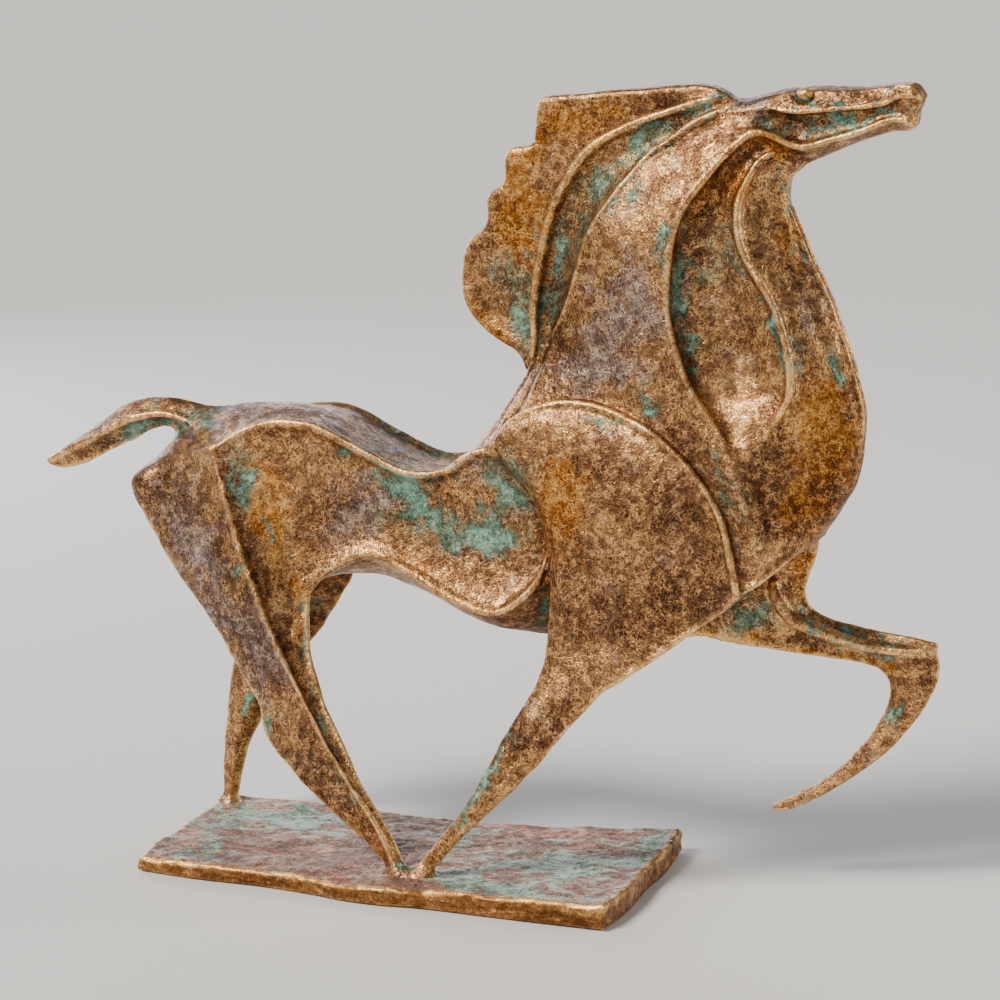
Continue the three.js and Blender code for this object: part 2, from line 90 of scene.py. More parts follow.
# Barrel: the spine, the ridge beside it, the flank, the belly's ridge and the keel.
SPINE = [
    (-130, 0, 193), (-113, 0, 211), (-93, 0, 218.5), (-66, 0, 221), (-38, 0, 219),
    (-14, 0, 208.5), (8, 0, 199.5), (28, 0, 199), (50, 0, 212), (78, 0, 210), (120, 0, 195),
]
BACK_RIDGE = [
    (-133.5, -12.5, 186.5), (-117, -20, 197), (-89, -29, 205), (-66, -27.5, 217),
    (-40, -27, 218.3), (-16, -26, 208.2), (8, -26, 198.3), (28, -27, 200.6),
    (46, -27, 211), (78, -25, 205), (120, -24, 190),
]
FLANK = [
    (-132, -12, 182), (-115, -17, 184), (-86, -25, 182), (-62, -25.5, 182), (-38, -24, 183),
    (-14, -21.5, 182), (10, -20.5, 175), (32, -20.5, 169), (54, -21, 167), (76, -22, 167),
    (110, -22, 165),
]
BELLY_RIDGE = [
    (-130, -8, 178), (-112, -10, 170), (-86, -16, 146), (-58, -23, 126), (-35, -25.5, 147),
    (-11, -24.5, 158.3), (11, -26.5, 150.3), (33, -28.5, 139.6), (55, -30, 135.4),
    (73, -29, 151), (80, -26, 175),
]
BARREL_SWELL = [
    [0, 1, 1, 0.5, 0.5, 0, -0.5, -1, 0, 0, 0], -1.5, -1.5, [0, 0, 0, 0, 1, 1, 1, 2, 3, 3, 3]]
KEEL = [
    (-129, 0, 175), (-112, 0, 165), (-88, 0, 153), (-60, 0, 146), (-36, 0, 142.5),
    (-12, 0, 142.8), (11, 0, 135.2), (33, 0, 126.4), (55, 0, 121.3), (78, 0, 120),
    (120, 0, 121),
]

# Hind legs: the rear edge, the sharp outside ridge, the front edge and the inside.
NEAR_HIND = [
    [(-135.5, -14, 183), (-130, -16, 168), (-117, -20, 148), (-97, -25, 126), (-82, -28, 106.5),
     (-67, -33, 86.5), (-58.5, -37, 67), (-38, -41, 46), (-13, -44, 28), (7, -45.5, SOLE)],
    [(-88, -30, 204.5), (-81, -34, 186), (-73, -37, 163), (-61.5, -41, 137), (-50.5, -43, 113),
     (-36.5, -45, 90), (-25, -47, 71), (-11.7, -48, 50.5), (1.5, -48.5, 31), (11.5, -49, SOLE)],
    [(-62, -24, 206), (-46, -22, 190), (-40, -21.5, 165), (-41, -27.5, 138), (-38.6, -33, 112),
     (-31, -37, 89), (-20, -40, 69.7), (-8.8, -43, 49.4), (4.6, -45, 30.2), (15.5, -46, SOLE)],
    [(-100, -6, 192), (-88, -5, 165), (-78, -8, 143), (-70, -16, 128), (-60, -23, 108),
     (-49, -29, 86.5), (-40, -34, 67), (-24, -38, 47), (-4.5, -41.5, 28.5), (11.5, -43.5, SOLE)],
]
FAR_HIND = [
    [(-135.5, 14, 183), (-130, 16, 168), (-117, 21, 147), (-105, 28, 120), (-103, 36, 98),
     (-110, 41, 80), (-114, 44, 53), (-116, 45, 33), (-117.5, 46, SOLE)],
    [(-88, 30, 204.5), (-81, 34, 186), (-76, 37, 163), (-75, 42, 136), (-82, 46, 110),
     (-94, 48, 81), (-105, 49, 52), (-110, 49.5, 32), (-113, 49, SOLE)],
    [(-62, 24, 206), (-46, 22, 190), (-40, 21.5, 165), (-37, 27, 138), (-51, 33, 115),
     (-76.5, 40, 81), (-94, 43.5, 53), (-102.5, 45, 34), (-108, 46, SOLE)],
    [(-100, 6, 192), (-88, 5, 165), (-80, 8, 143), (-74, 16, 126), (-78, 26, 108),
     (-93, 35, 80), (-104, 39.5, 52), (-109, 41.5, 32), (-112.5, 43, SOLE)],
]
HIND_TAPER = [1, 1, 1, 1, 0.8, 0.5, 0]
NEAR_HIND_SWELL = [
    [0, 1, 1.5, 1.5, 1, 1, 1, 0.5, 0.3, 0],
    [-0.5, -1.5, -1.5, -1.2, -1, -1.3, -1.2, -1, -0.5, 0], HIND_TAPER, HIND_TAPER]
FAR_HIND_SWELL = [
    [0, 1, 1.5, 1.5, 1, 1, 0.5, 0.3, 0], [-0.5, -1.5, -1.5, -1.2, -1, -1, -0.5, -0.5, 0],
    HIND_TAPER, HIND_TAPER]

# Shoulder plates: the rear edge and the arched front edge, with hidden inner edges. The
# crown is the power that squares the shape of the swell.
PLATE_REAR = [
    (47, -24, 209.5), (54, -26, 207), (62, -27, 200), (70, -28, 191), (76, -29, 178),
    (79.5, -30.5, 162), (80.3, -32, 145), (80, -33.5, 128),
]
PLATE_ARCH = [
    (49, -24, 213), (59, -25.5, 224), (71, -26, 232), (89, -26.5, 236), (110, -28, 232.5),
    (133, -30, 221), (152, -31.5, 202.5), (165, -31.5, 172),
]
PLATE_INNER_REAR = [(x + 6, -14, z - 1) for x, _, z in PLATE_REAR]
PLATE_INNER_FRONT = [(x - 4, -14, z - 8) for x, _, z in PLATE_ARCH]
PLATE_SWELL = [3, 4, 5, 6, 6.5, 6.5, 6, 5.5]
PLATE_CROWN = 4

# Standing foreleg and far shoulder: the rear edge, the front edge and the two inner ones.
FORELEG = [
    [*PLATE_REAR, (78.5, -35.5, 114), (73, -38, 99.5), (61.5, -42, 79), (46.5, -44.5, 50.5),
     (31, -46, 28), (17.5, -46.5, SOLE)],
    [*PLATE_ARCH, (170.5, -31, 152), (142, -35, 131), (106, -39, 102), (72, -43.5, 61),
     (46, -45.5, 33.8), (25.5, -46.5, SOLE)],
    [*PLATE_INNER_FRONT, (160, -16, 150), (133, -25, 133), (102, -31, 103), (69, -38, 61.5),
     (44, -41, 34), (25, -44, SOLE)],
    [*PLATE_INNER_REAR, (84, -18, 116), (78, -26, 102), (65, -33, 80), (48.5, -38.5, 51),
     (32.5, -41.5, 28), (18.5, -44, SOLE)],
]
FAR_PLATE = [
    [*PLATE_REAR, (88, -31, 115)],
    [*PLATE_ARCH, (168, -32, 140)],
    [*PLATE_INNER_FRONT, (150, -14, 135)],
    [*PLATE_INNER_REAR, (92, -14, 119)],
]
FORELEG_SWELL = [
    [*PLATE_SWELL, 4.5, 4, 3.5, 2.5, 2, 0], 0, [0, 0, 0, 0, 0, 0, 0, 0, 0, 1, 1, 1, 1, 0]]
FAR_PLATE_SWELL = [[*PLATE_SWELL, 3]]

# Raised far foreleg: the upper edge, the inner ridge, the lower edge and the outside.
# Below the knee, its inner and outer edges, half its thickness and its tip.
FOREARM = [
    [(188, 28, 184), (193.5, 32.5, 167), (187.5, 35, 150), (185, 37, 139), (190, 38, 130.7),
     (203, 38, 126), (220, 38, 123), (238, 38, 121), (249, 38.5, 118.5)],
    [(120, 20, 142), (160, 26, 148), (173.5, 28.5, 143), (174, 29, 135), (183, 30.5, 127.5),
     (200, 32, 119), (217, 33.3, 115.3), (235, 34, 115.3), (247, 36, 117)],
    [(100, 26, 116), (132, 29, 115.2), (150, 32, 112.7), (165, 34, 111.6), (181, 36, 110.5),
     (198, 37, 109), (213, 38, 107.3), (229, 38, 104.5), (245, 38.5, 109)],
    [(120, 38, 142), (165, 41, 140), (176, 43, 134), (178, 44, 127), (187, 44.5, 120),
     (201, 44.5, 117), (218, 44, 115), (236, 43.5, 113.5), (248, 41, 115)],
]
FOREARM_SWELL = [[0.5, 0.5, 0.5, 0.6, 0.9, 1.1, 1.2, 1, 0.5], -0.8, 1.5, 1.5]
CANNON_INSIDE = [
    (222, 38, 108), (226, 38, 98.5), (225, 38, 89), (220, 37.7, 77), (212, 37.3, 66),
    (202, 36.8, 55), (190, 36.2, 46), (178, 35.6, 39.3), (172, 35.2, 36.3),
]
CANNON_OUTSIDE = [
    (248, 38, 120), (251, 38, 109), (248.5, 38, 97), (241.3, 37.7, 83.5), (230, 37.3, 69),
    (216.5, 36.8, 57), (201.5, 36.2, 45.8), (184.5, 35.6, 35.5), (173.5, 35.2, 32.8),
]
CANNON_HALF_THICK = [5.2, 5.4, 5.2, 4.8, 4.4, 4, 3.4, 2.6, 1.2]
CANNON_SWELL = [0.8] * 4
CANNON_TIP = (171.5, 35, 34)

# Lips of their own: the shoulder plate's arch down to the foreleg's front edge, that
# edge, the chest's lower edge and the rope along the raised foreleg.
ARCH_LIP = [
    (49, -23, 213), (59, -26.4, 224), (71, -26.9, 232), (89, -27.4, 236), (110, -28.9, 232.5),
    (133, -30.9, 221), (152, -32.3, 202.5), (161.8, -32.9, 187), (166.6, -33.5, 170),
    (169.4, -33.7, 156), (169.6, -33, 151),
]
FORELEG_EDGE = [
    (169.8, -31.8, 151.8), (160.5, -33, 143.3), (150.3, -34.5, 135.5), (134.8, -36.5, 123.6),
    (116.4, -38.6, 109.9), (104.3, -40, 101), (71.5, -43.6, 61.5), (46, -45.5, 34.5),
]
CHEST_EDGE = [
    (170.6, -31, 152), (180, -30, 158), (188, -25, 165.5), (192.5, -20, 170.5),
    (199, -9, 175.5), (202.6, 0, 177),
]
ROPE = [
    (172.5, 27.5, 147), (175, 27, 138), (182, 27.4, 130), (191, 28.6, 125.5),
    (200, 29.8, 121.9), (209.6, 31, 119.3), (219, 32.2, 117), (232.2, 33.5, 115.8),
    (243.5, 34.8, 116),
]

# Neck, from the nape over the crest, the channel, its front edge, the smooth field, the
# main ridge, the foot of the long bowl, the raised cord, its foot, the throat, the keel.
NAPE = [
    (45, 0, 150), (32, 0, 182), (34, 0, 206), (47, 0, 224.5), (62, 0, 246), (68, 0, 282),
    (74, 0, 311), (84, 0, 334), (104, 0, 356), (143, 0, 371), (160, 0, 373),
]
CREST = [
    (52, -17, 150), (45, -17, 182), (39, -12, 206.5), (50, -11, 225.5), (65.5, -11, 254),
    (66.5, -12, 282), (71.5, -12, 311), (79, -12, 331), (97, -11, 354.5), (141, -8, 372.5),
    (160, -4, 372),
]
CHANNEL = [
    (60, -21, 150), (55, -22, 182), (46, -21, 207), (55, -18, 227), (69.5, -10.5, 256),
    (75, -8, 282), (82, -8, 310.5), (91, -8.5, 329.5), (108.5, -8, 350), (144, -6.5, 368),
    (161, -5, 369.5),
]
CHANNEL_FRONT = [
    (88, -23, 150), (78, -24.5, 182), (61, -26, 207), (64, -23, 228), (74.5, -14.5, 257.5),
    (85, -18, 282), (94, -19, 310.5), (104, -18.5, 327.5), (122, -16, 346),
    (149, -12, 362.7), (162, -8, 367),
]
FIELD = [
    (120, -26, 150), (118, -26.5, 182), (115, -27, 205), (110, -27, 228), (108, -26, 253),
    (110, -26, 281), (115, -25.5, 308), (123, -22.5, 326), (139, -19, 345),
    (158, -15, 359.5), (167, -10.5, 363),
]
MAIN_RIDGE = [
    (170.6, -31, 152), (178.5, -30.5, 181), (171, -29.5, 205), (159, -29, 226.5),
    (143.5, -29, 250), (134.7, -29, 280), (135.5, -28, 308), (141, -25.5, 327.5),
    (155, -21, 346.5), (166.5, -17, 357.8), (174, -13.5, 359),
]
BOWL_FOOT = [
    (175, -31, 154.7), (183.5, -28.5, 182), (176, -27.5, 205), (166, -25.5, 225.5),
    (151, -20, 249.5), (142, -19.5, 279), (142.3, -19, 306), (147.5, -18, 325),
    (160, -16, 342), (170, -13, 352.5), (176, -11, 356),
]
CORD = [
    (180, -30, 158), (190, -26.5, 183.5), (187, -25.5, 205), (180, -25.5, 223.5),
    (191, -24, 247), (184.5, -23, 280), (167.7, -21, 308), (164.6, -19, 327.3),
    (170.5, -16.3, 343.7), (175.7, -14, 350.2), (180, -12.5, 352.5),
]
CORD_FOOT = [
    (184, -27.5, 162.5), (194, -24, 184.5), (193, -22.5, 205), (190, -21.5, 222.5),
    (197, -19.5, 245), (189.5, -18.5, 279), (172.7, -17, 308), (169, -15.5, 327),
    (174, -13, 342), (178.3, -11.5, 347.7), (182.5, -10.5, 349.5),
]
THROAT = [
    (192.5, -20, 170.5), (203, -16, 187), (209, -14, 204), (210, -13, 222),
    (209, -11.5, 242.5), (199, -11, 276.5), (183, -10, 306.5), (177, -9.5, 326),
    (179.5, -8.5, 340.5), (182.5, -7.5, 345), (186.5, -7, 346.5),
]
THROAT_KEEL = [
    (202.6, 0, 177), (211.5, 0, 190), (218.7, 0, 203), (221, 0, 220.5), (218.7, 0, 241),
    (207.3, 0, 276.5), (193, 0, 307.5), (185.3, 0, 326), (184.3, 0, 338.5), (186.5, 0, 344),
    (188.5, 0, 347.5),
]
NECK_START = (140, 0, 132)
NECK_SWELL = [
    0, -1.2, -1.5, 1, 1, [0, 0.5, 0, -0.5, -1.5, -2, -2, -1.5, -1, -0.5, 0],
    [1, 1, 1, 0.5, -2.5, -3, -3, -2, -1, -0.5, 0], 0, 0.5, 2]

# Lips of the neck and head: the main ridge, which arches over into the jaw's ridge, and
# the soft fold that it runs out in. Then the hollow under that arch, with its radii.
MAIN_LIP = [
    *MAIN_RIDGE[2:9], (161, -19.2, 353.3), (167.4, -17.2, 359.3), (171.6, -16, 361.1),
    (175.6, -15.2, 360.9), (181, -14.4, 358.6), (187.8, -13.2, 355.5), (194.6, -12.3, 355.2),
    (208, -10.6, 359.1), (217, -9.5, 362), (228, -8.3, 366.5), (234, -8, 367.8),
    (239.5, -7.8, 366.5),
]
FOLD = [
    (155.5, -27, 225), (161.7, -28.9, 214.8), (168, -29.7, 204.2), (173, -30.3, 194),
    (176.5, -30.4, 182.7), (178, -29, 170),
]
UNDER_ARCH = [(165, -20, 351), (172, -18.5, 355), (179, -16.5, 353), (185, -13.5, 350)]
UNDER_ARCH_RADII = [3, 5, 5, 3]

# Head: the top, its edge, the cheek ridge, the recess, the jaw ridge and the chin.
HEAD_TOP = [
    (152, 0, 373.5), (164, 0, 375.2), (178, 0, 379.2), (188, 0, 381), (203, 0, 381.6),
    (217, 0, 382), (229, 0, 383.2), (236, 0, 384), (241, 0, 383.5), (244, 0, 380),
]
HEAD_EDGE = [
    (152, -5, 372.5), (164, -7, 374.2), (178, -8, 377.5), (188, -8.5, 379), (203, -8, 379.8),
    (217, -7.5, 380.5), (229, -7, 382), (235.5, -8, 383.3), (240.5, -8.5, 383),
    (244, -6.5, 379.5),
]
CHEEK = [
    (154, -10, 368), (165, -12, 370.5), (177, -12, 371.5), (189, -12, 370.5),
    (203, -11, 371.7), (217, -9.7, 373), (228.5, -8.5, 375), (235, -9, 378),
    (241.3, -9.2, 378.5), (245, -7, 377),
]
RECESS = [
    (154, -11, 364), (165, -12, 366), (178, -9, 366), (190, -8, 363), (204, -7, 365),
    (217, -6, 367.5), (228, -6, 370.5), (234, -7.3, 373), (241, -8.3, 373), (244, -6.5, 373.5),
]
JAW = [
    (154, -13, 360), (165, -14, 361.5), (180, -14, 359.5), (192, -12.5, 355),
    (205, -11, 358.4), (217, -9.5, 362), (228, -8.3, 366.5), (234, -8, 367.8),
    (239.5, -7.8, 366.5), (242, -6, 369),
]
CHIN = [
    (162, 0, 346), (176, 0, 344), (186, 0, 343), (194, 0, 347.3), (205, 0, 352.2),
    (217, 0, 357.4), (228.5, 0, 361.4), (235, 0, 362.2), (239.5, 0, 362.4), (241.8, 0, 364.7),
]
HEAD_SWELL = [0, 0.3, -0.9, -0.9, 0.8]

# The eye's socket and ball on the far side: middle and radii.
EYE_SOCKET = ((192.4, 10.4, 377.4), (6.0, 3.2, 3.7))
EYE_BALL = ((192.4, 8.8, 378.2), (3.9, 2.8, 2.8))

# The tip of the mane's channel, where the head covers it, with its radii, and the edge
# in front of it.
CHANNEL_TIP = [(134, -10.5, 363), (143.5, -10, 369.5), (151.5, -8.5, 373), (157.5, -6, 375.5)]
CHANNEL_TIP_RADII = [1.0, 2.4, 2.2, 0.8]
CHANNEL_TIP_FRONT = [
    (121, -13.8, 348.5), (129, -13, 354.5), (143, -10.5, 364.5), (156, -7.2, 371)]

# The scoop of the long bowl at the side of the neck. Then the balls, as middle and radii:
# on the far side the bowl's lower end, the haunch's corner and the gap behind the elbow,
# and in the middle plane the rump.
BOWL_SCOOP = [
    (163, -21, 346), (153, -25, 328), (151, -29, 308), (158, -32, 280), (168, -32, 255),
    (170, -33, 243),
]
BOWL_SCOOP_RADII = [5, 9, 14, 18, 17, 15]
BOWL_END = ((169, 19.5, 213), (12, 9, 10))
HAUNCH_CORNER = ((-128, 11, 182), (6.5, 10, 8))
ELBOW_GAP = ((66, 34, 178), (22, 15, 32))
RUMP = ((-68, 0, 203.5), (37, 22, 19))

# Flutes of the near legs, each with its radii, and the welds of the feet: middle and
# radii.
HIND_FLUTE = [
    (-47, -34, 128), (-44.5, -39.5, 112.5), (-33.7, -42.5, 89.5), (-22.5, -45.2, 70.3),
    (-10.2, -47.2, 50),
]
HIND_FLUTE_RADII = [0.6, 2.2, 2.4, 2.0, 0.5]
FORE_FLUTE = [(88, -42, 97), (80, -44.5, 86), (67, -46.8, 68), (52, -48.5, 47), (38, -49, 30)]
FORE_FLUTE_RADII = [0.4, 1.5, 1.6, 1.2, 0.4]
WELDS = [
    ((15, -46.5, 9), (13, 5, 2.2)), ((11, -46.5, 9.5), (6, 4.4, 4)),
    ((22, -45.5, 9.5), (5.5, 3.6, 4)), ((-112.8, 46.2, 9.2), (6.5, 4.8, 2.4)),
]

# Tail: the top, the ridge along each side and the hollow lower face.
TAIL_TOP = [
    (-88, 0, 213), (-103, 0, 220.3), (-118, 0, 223.5), (-133, 0, 223), (-147, 0, 218.5),
    (-160, 0, 209.3), (-173, 0, 199.6), (-183, 0, 192.7), (-187.3, 0, 189.7),
]
TAIL_RIDGE = [
    (-92, -8, 207), (-106, -8, 212), (-119, -8.3, 216.3), (-132, -8.3, 215.6),
    (-145, -7.8, 211), (-157.5, -6.7, 204), (-171, -4.8, 197), (-182, -3, 191.3),
    (-187.3, -1.2, 188.5),
]
TAIL_BELOW = [
    (-98, 0, 200), (-110, 0, 206), (-120, 0, 209), (-132, 0, 206.7), (-143, 0, 201),
    (-155, 0, 193.6), (-168, 0, 187.4), (-180, 0, 184.6), (-186.3, 0, 186.3),
]
TAIL_SWELL = [1, [0, 0, -1, -1.2, -1.2, -1, -0.6, -0.2, 0]]

# Lips on both sides, each a line, its radius at each point, how far its foot is rounded
# out and how far it lies inside the ridge, all in mm. Then lips on one side, which lie on
# the ridge itself.
PAIRED_LIPS = [
    (BACK_RIDGE[2:], [0.2, 1.2, 1.6, 1.7, 1.7, 1.6, 1.5, 0.9, 0.2], 4.0, 0.6),
    (BELLY_RIDGE[2:], [0.2, 1.0, 1.5, 1.6, 1.6, 1.6, 1.7, 1.3, 0.2], 4.0, 0.6),
    (ARCH_LIP, [0.3, 1.2, 1.5, 1.6, 1.7, 1.8, 1.8, 1.8, 1.8, 1.7, 1.4], 2.6, 0.0),
    (FOLD, [0.8, 2.2, 2.7, 2.7, 2.2, 0.8], 5.0, 0.0),
    (CHEST_EDGE, [0.4, 1.3, 1.4, 1.4, 1.2, 0.8], 2.0, -0.1),
    (CREST[4:], [0.6, 2.2, 2.3, 2.2, 2.0, 1.6, 0.4], 3.5, 0.4),
    ([(70.5, -13, 256), *CHANNEL_FRONT[5:8], *CHANNEL_TIP_FRONT],
     [0.4, 1.2, 1.3, 1.5, 1.8, 2.1, 2.1, 0.8], 2.2, -0.3),
    (MAIN_LIP, [0.2, 0.9, 1.5, 1.7, 1.7, 1.7, 1.6, 1.5, 1.4, 1.3, 1.2, 1.2, 1.2, 1.1, 1.0, 0.9,
                0.8, 0.7, 0.3], 3.2, 0.4),
    (CORD[3:], [1.0, 1.9, 2.0, 2.0, 1.9, 1.6, 1.1, 0.3], 2.0, 0.1),
    ([(x, -3.2, z) for x, _, z in THROAT_KEEL[3:8]], [0.2, 1.0, 1.1, 1.0, 0.3], 1.5, 0.0),
    (CHEEK[2:], [0.4, 1.0, 1.1, 1.1, 1.0, 0.9, 0.6, 0.3], 1.2, -0.2),
    (TAIL_RIDGE[1:], [0.2, 1.0, 1.2, 1.1, 0.9, 0.7, 0.6, 0.2], 3.0, 0.4),
]
SINGLE_LIPS = [
    (NEAR_HIND[1], [0.3, 1.2, 1.5, 1.5, 1.4, 1.2, 1.1, 1.0, 0.9, 0.5], 3.0),
    (FAR_HIND[1], [0.3, 1.2, 1.5, 1.5, 1.3, 1.1, 1.0, 0.9, 0.5], 3.0),
    (NEAR_HIND[2][2:], [0.3, 0.9, 1.1, 1.1, 1.0, 0.9, 0.8, 0.5], 1.8),
    (FORELEG_EDGE, [1.4, 1.6, 1.6, 1.6, 1.5, 1.3, 0.9, 0.3], 2.2),
    (ROPE, [2.0, 3.6, 3.9, 3.8, 3.5, 3.2, 2.8, 2.2, 0.9], 1.6),
    (FOREARM[0][1:], [0.3, 0.6, 0.9, 1.0, 1.1, 1.1, 1.0, 0.5], 2.0),
]

# Mane fin, seen from the side: straight runs and curves, each with its control points.
# Then in mm how thick half of it is, how far its edge is rounded, how wide its rim is and
# how much thinner it is within.
MANE_START = (74, 252)
MANE_PATH = [
    [(60, 247)], [(59, 254.5), (52, 257.5)], [(36, 265), (28.5, 275), (28.7, 290)],
    [(29, 300), (31, 306), (35.5, 309)], [(41, 312), (42.5, 317), (41, 325)],
    [(41.5, 328.5), (46, 330.5)], [(51.5, 333), (50.5, 339), (50, 343)],
    [(50, 350.5), (57, 350.7)], [(64, 350.5), (64.3, 355)], [(65.2, 368)],
    [(65.5, 373.3), (70, 374)], [(139, 381)], [(151, 382), (158.5, 374)],
    [(140, 364)], [(104, 348)], [(84, 320)],
]
MANE_HALF_THICK = 6.5
MANE_EDGE_ROUND = 2.5
MANE_RIM = 3.5
MANE_HOLLOW = 1.6

# How far the corner where a form joins the rest is rounded out, in mm.
RUMP_BLEND = 9.0
LIMB_BLEND = 7.0
ELBOW_BLEND = 6.0
NECK_BLEND = 5.0
FOREARM_BLEND = 4.0
WELD_BLEND = 4.0
MANE_BLEND = 3.0
CANNON_BLEND = 3.0
HOLLOW_BLEND = 3.0
PLATE_BLEND = 2.0
TIP_BLEND = 1.5
SOCKET_BLEND = 1.2
BARREL_BLEND = 1.0
EYE_BLEND = 0.4

# Its hammered relief: the seed, and the waves as the size of a dent in mm and its share
# of the relief's height. Then how far it grows after it is softened, in mm.
CLAY_REACH = 8.0
RELIEF_SEED = 7
RELIEF_WAVES = ((14, 1.8), (7, 1.1), (4, 0.35))
SOFTEN_GROWTH = 0.1

# Wear, grooves darkened by patina and painted shade, and the green of hollows. The
# surroundings are taken within two radii, and for each come a share, and how far above or
# below them, in mm, it starts and is full.
FINE_RADIUS = 1.0
BROAD_RADIUS = 4.0
WORN = ((0.8, 0.08, 0.28), (0.2, 0.8, 2.5))
GROOVE_PATINA_AND_SHADE = ((0.7, 0.04, 0.3), (0.5, 0.2, 1.2))
GREEN_HOLLOW = (0.4, 0.6, 1.8)

# The patina's seed, and the waves that bend its patches: height in pixels, length in mm.
# Every patch's half widths are widened by PATCH_MARGIN.
PATINA_SEED = 3
PATCH_WAVES = ((5, 17), (2.5, 7))
PATCH_MARGIN = 1

# Slab: its four wavy sides seen from above, its thickness at the middle, and its half
# length and half width.
SLAB_SIDES = [
    [(-118, -59), (-88, -62), (-56, -61.5), (-30, -64), (-10, -68), (8, -68.5), (30, -66),
     (70, -66.5), (118, -66)],
    [(118, -66), (121, -36), (120, 0), (121, 32), (118, 69)],
    [(118, 69), (88, 62), (52, 56), (12, 54), (-24, 55), (-66, 59), (-118, 58)],
    [(-118, 58), (-120, 20), (-119, -8), (-120, -36), (-118, -59)],
]
SLAB_THICK = 10
SLAB_HALF = np.array([118.0, 62.0])

# The slab's rim: the radius that rounds it, the steps of the rounded rim, of the upright
# side and of the rounded foot. It sags by RIM_SAG at RIM_SAG_AT, over RIM_SAG_SPREAD to
# either side, and the sag fades out over SAG_REACH inwards. All but the steps are in mm.
RIM_ROUND = 2.6
RIM_STEPS = 5
SIDE_PARTS = (0.25, 0.5, 0.75, 1.0)
FOOT_STEPS = 4
RIM_SAG = 1.5
RIM_SAG_AT = 5
RIM_SAG_SPREAD = 55
SAG_REACH = 8

# The slab's top, with lengths in mm: how deep it is dished and between which distances
# from the edge, what share of the rim spills onto it and how far, its seed, its waves as
# length and height, the dents of its rim as length and depth, and the heights over which
# both fade out below.
SLAB_DISH = 0.5
DISH_EDGE = (0.5, 4.0)
RIM_SPILL = 0.6
RIM_SPILL_REACH = 1.6
SLAB_SEED = 11
SLAB_WAVES = ((34, 0.24), (14, 0.2), (6, 0.12), (3, 0.07))
RIM_DENTS = ((16, 0.25), (6, 0.15))
WAVE_FOOT = (0.5, 5.0)

# The slab's wear: how much of rim a worn point is, how far below the top the wear of the
# edge fades, at what height that of the foot does, and how strong each of them is.
WORN_RIM = (0.2, 1.0)
WORN_DROP = (1.0, 3.5)
WORN_FOOT = (0.3, 2.2)
EDGE_WEAR = 0.75
FOOT_WEAR = 0.35

# Patterns of the patina: clouds to the metre, octaves, how much each octave weakens, and
# how far the places are warped.
HORSE_CLOUD = (30, 5.0, 0.6, 0.9)
HORSE_HAZE = (42, 5.0, 0.62, 0.9)
HORSE_MOTTLE = (120, 5.0, 0.66, 0.8)
HORSE_CRUMB = (450, 2.0, 0.6, 1.0)
SLAB_CLOUD = (26, 4.0, 0.6, 0.9)
SLAB_STREAK = (75, 6.0, 0.7, 1.0)
SLAB_VEIN = (95, 5.0, 0.65, 1.4)
SLAB_CRUMB = (420, 3.0, 0.65, 1.0)
SLAB_SIDE = (150, 5.0, 0.7, 0.6)

# The tooled grain. Strokes: their length in widths, and the turns of their three layers.
# Fibres: the turn and the width of either layer, how far from its middle value a line
# ends, and the gaps that break the lines up, as their width and where they start and end.
STROKE_LENGTH = 3.6
STROKE_TURNS = ((0.3, 0.5, 0.4), (0.3, 1.55, 0.4), (0.3, 2.6, 0.4))
FIBRE_LAYERS = ((0.4, 4.0), (1.9, 5.5))
FIBRE_EDGE = 0.085
FIBRE_GAP_WIDTH = 7
FIBRE_GAPS = (0.38, 0.6)

# Stage, in metres: the floor's level, half its width, its paint, its roughness, its waves
# to the metre and their height, then the sky's colour and strength and the point that the
# lights are turned to. A light is given as name, kind, place, power, colour and spread,
# which is a sun's angle in degrees or the width of an area.
FLOOR_LEVEL = -0.0003
FLOOR_REACH = 40
FLOOR_PAINT = (0.72, 0.71, 0.69, 1)
FLOOR_ROUGH = 0.85
FLOOR_WAVES = 3
FLOOR_UNEVEN = 0.0002
SKY = (0.88, 0.91, 0.96, 1)
SKY_STRENGTH = 0.2
LIT_POINT = (0.03, 0.0, 0.2)
LIGHTS = (
    ("Key", "SUN", (-0.6, -1.0, 1.35), 4.4, (1.0, 0.95, 0.87), 20),
    ("Back", "AREA", (-1.3, 0.9, 0.6), 13, (0.88, 0.9, 1.0), 0.6),
    ("Top", "SUN", (-0.6, 1.5, 0.62), 0.8, (0.92, 0.93, 1.0), 35),
    ("Edge", "AREA", (1.5, 0.5, 0.7), 9, (1.0, 0.96, 0.9), 0.5),
)


def tipped(points):
    """Turns points of the level drawing frame into the part's frame, in millimetres."""
    return np.asarray(points, float) @ TIP.T


def camera_axes():
    """The camera's place and its right, up and forward axes, tipped with the horse."""
    cos_yaw, sin_yaw = math.cos(CAMERA_YAW), math.sin(CAMERA_YAW)
    cos_pitch, sin_pitch = math.cos(CAMERA_PITCH), math.sin(CAMERA_PITCH)
    right = np.array([cos_yaw, sin_yaw, 0.0])
    forward = np.array([-sin_yaw * cos_pitch, cos_yaw * cos_pitch, -sin_pitch])
    up = np.cross(right, forward)
    place = CAMERA_TARGET - CAMERA_DISTANCE * forward
    return [TIP @ axis for axis in (place, right, up, forward)]


def pictured(points):
    """Where points in millimetres fall in the 1000 pixel picture, as two arrays."""
    place, right, up, forward = camera_axes()
    away = np.asarray(points, float) - place
    depth = away @ forward
    middle = PICTURE / 2
    return middle + FOCAL * (away @ right) / depth, middle - FOCAL * (away @ up) / depth


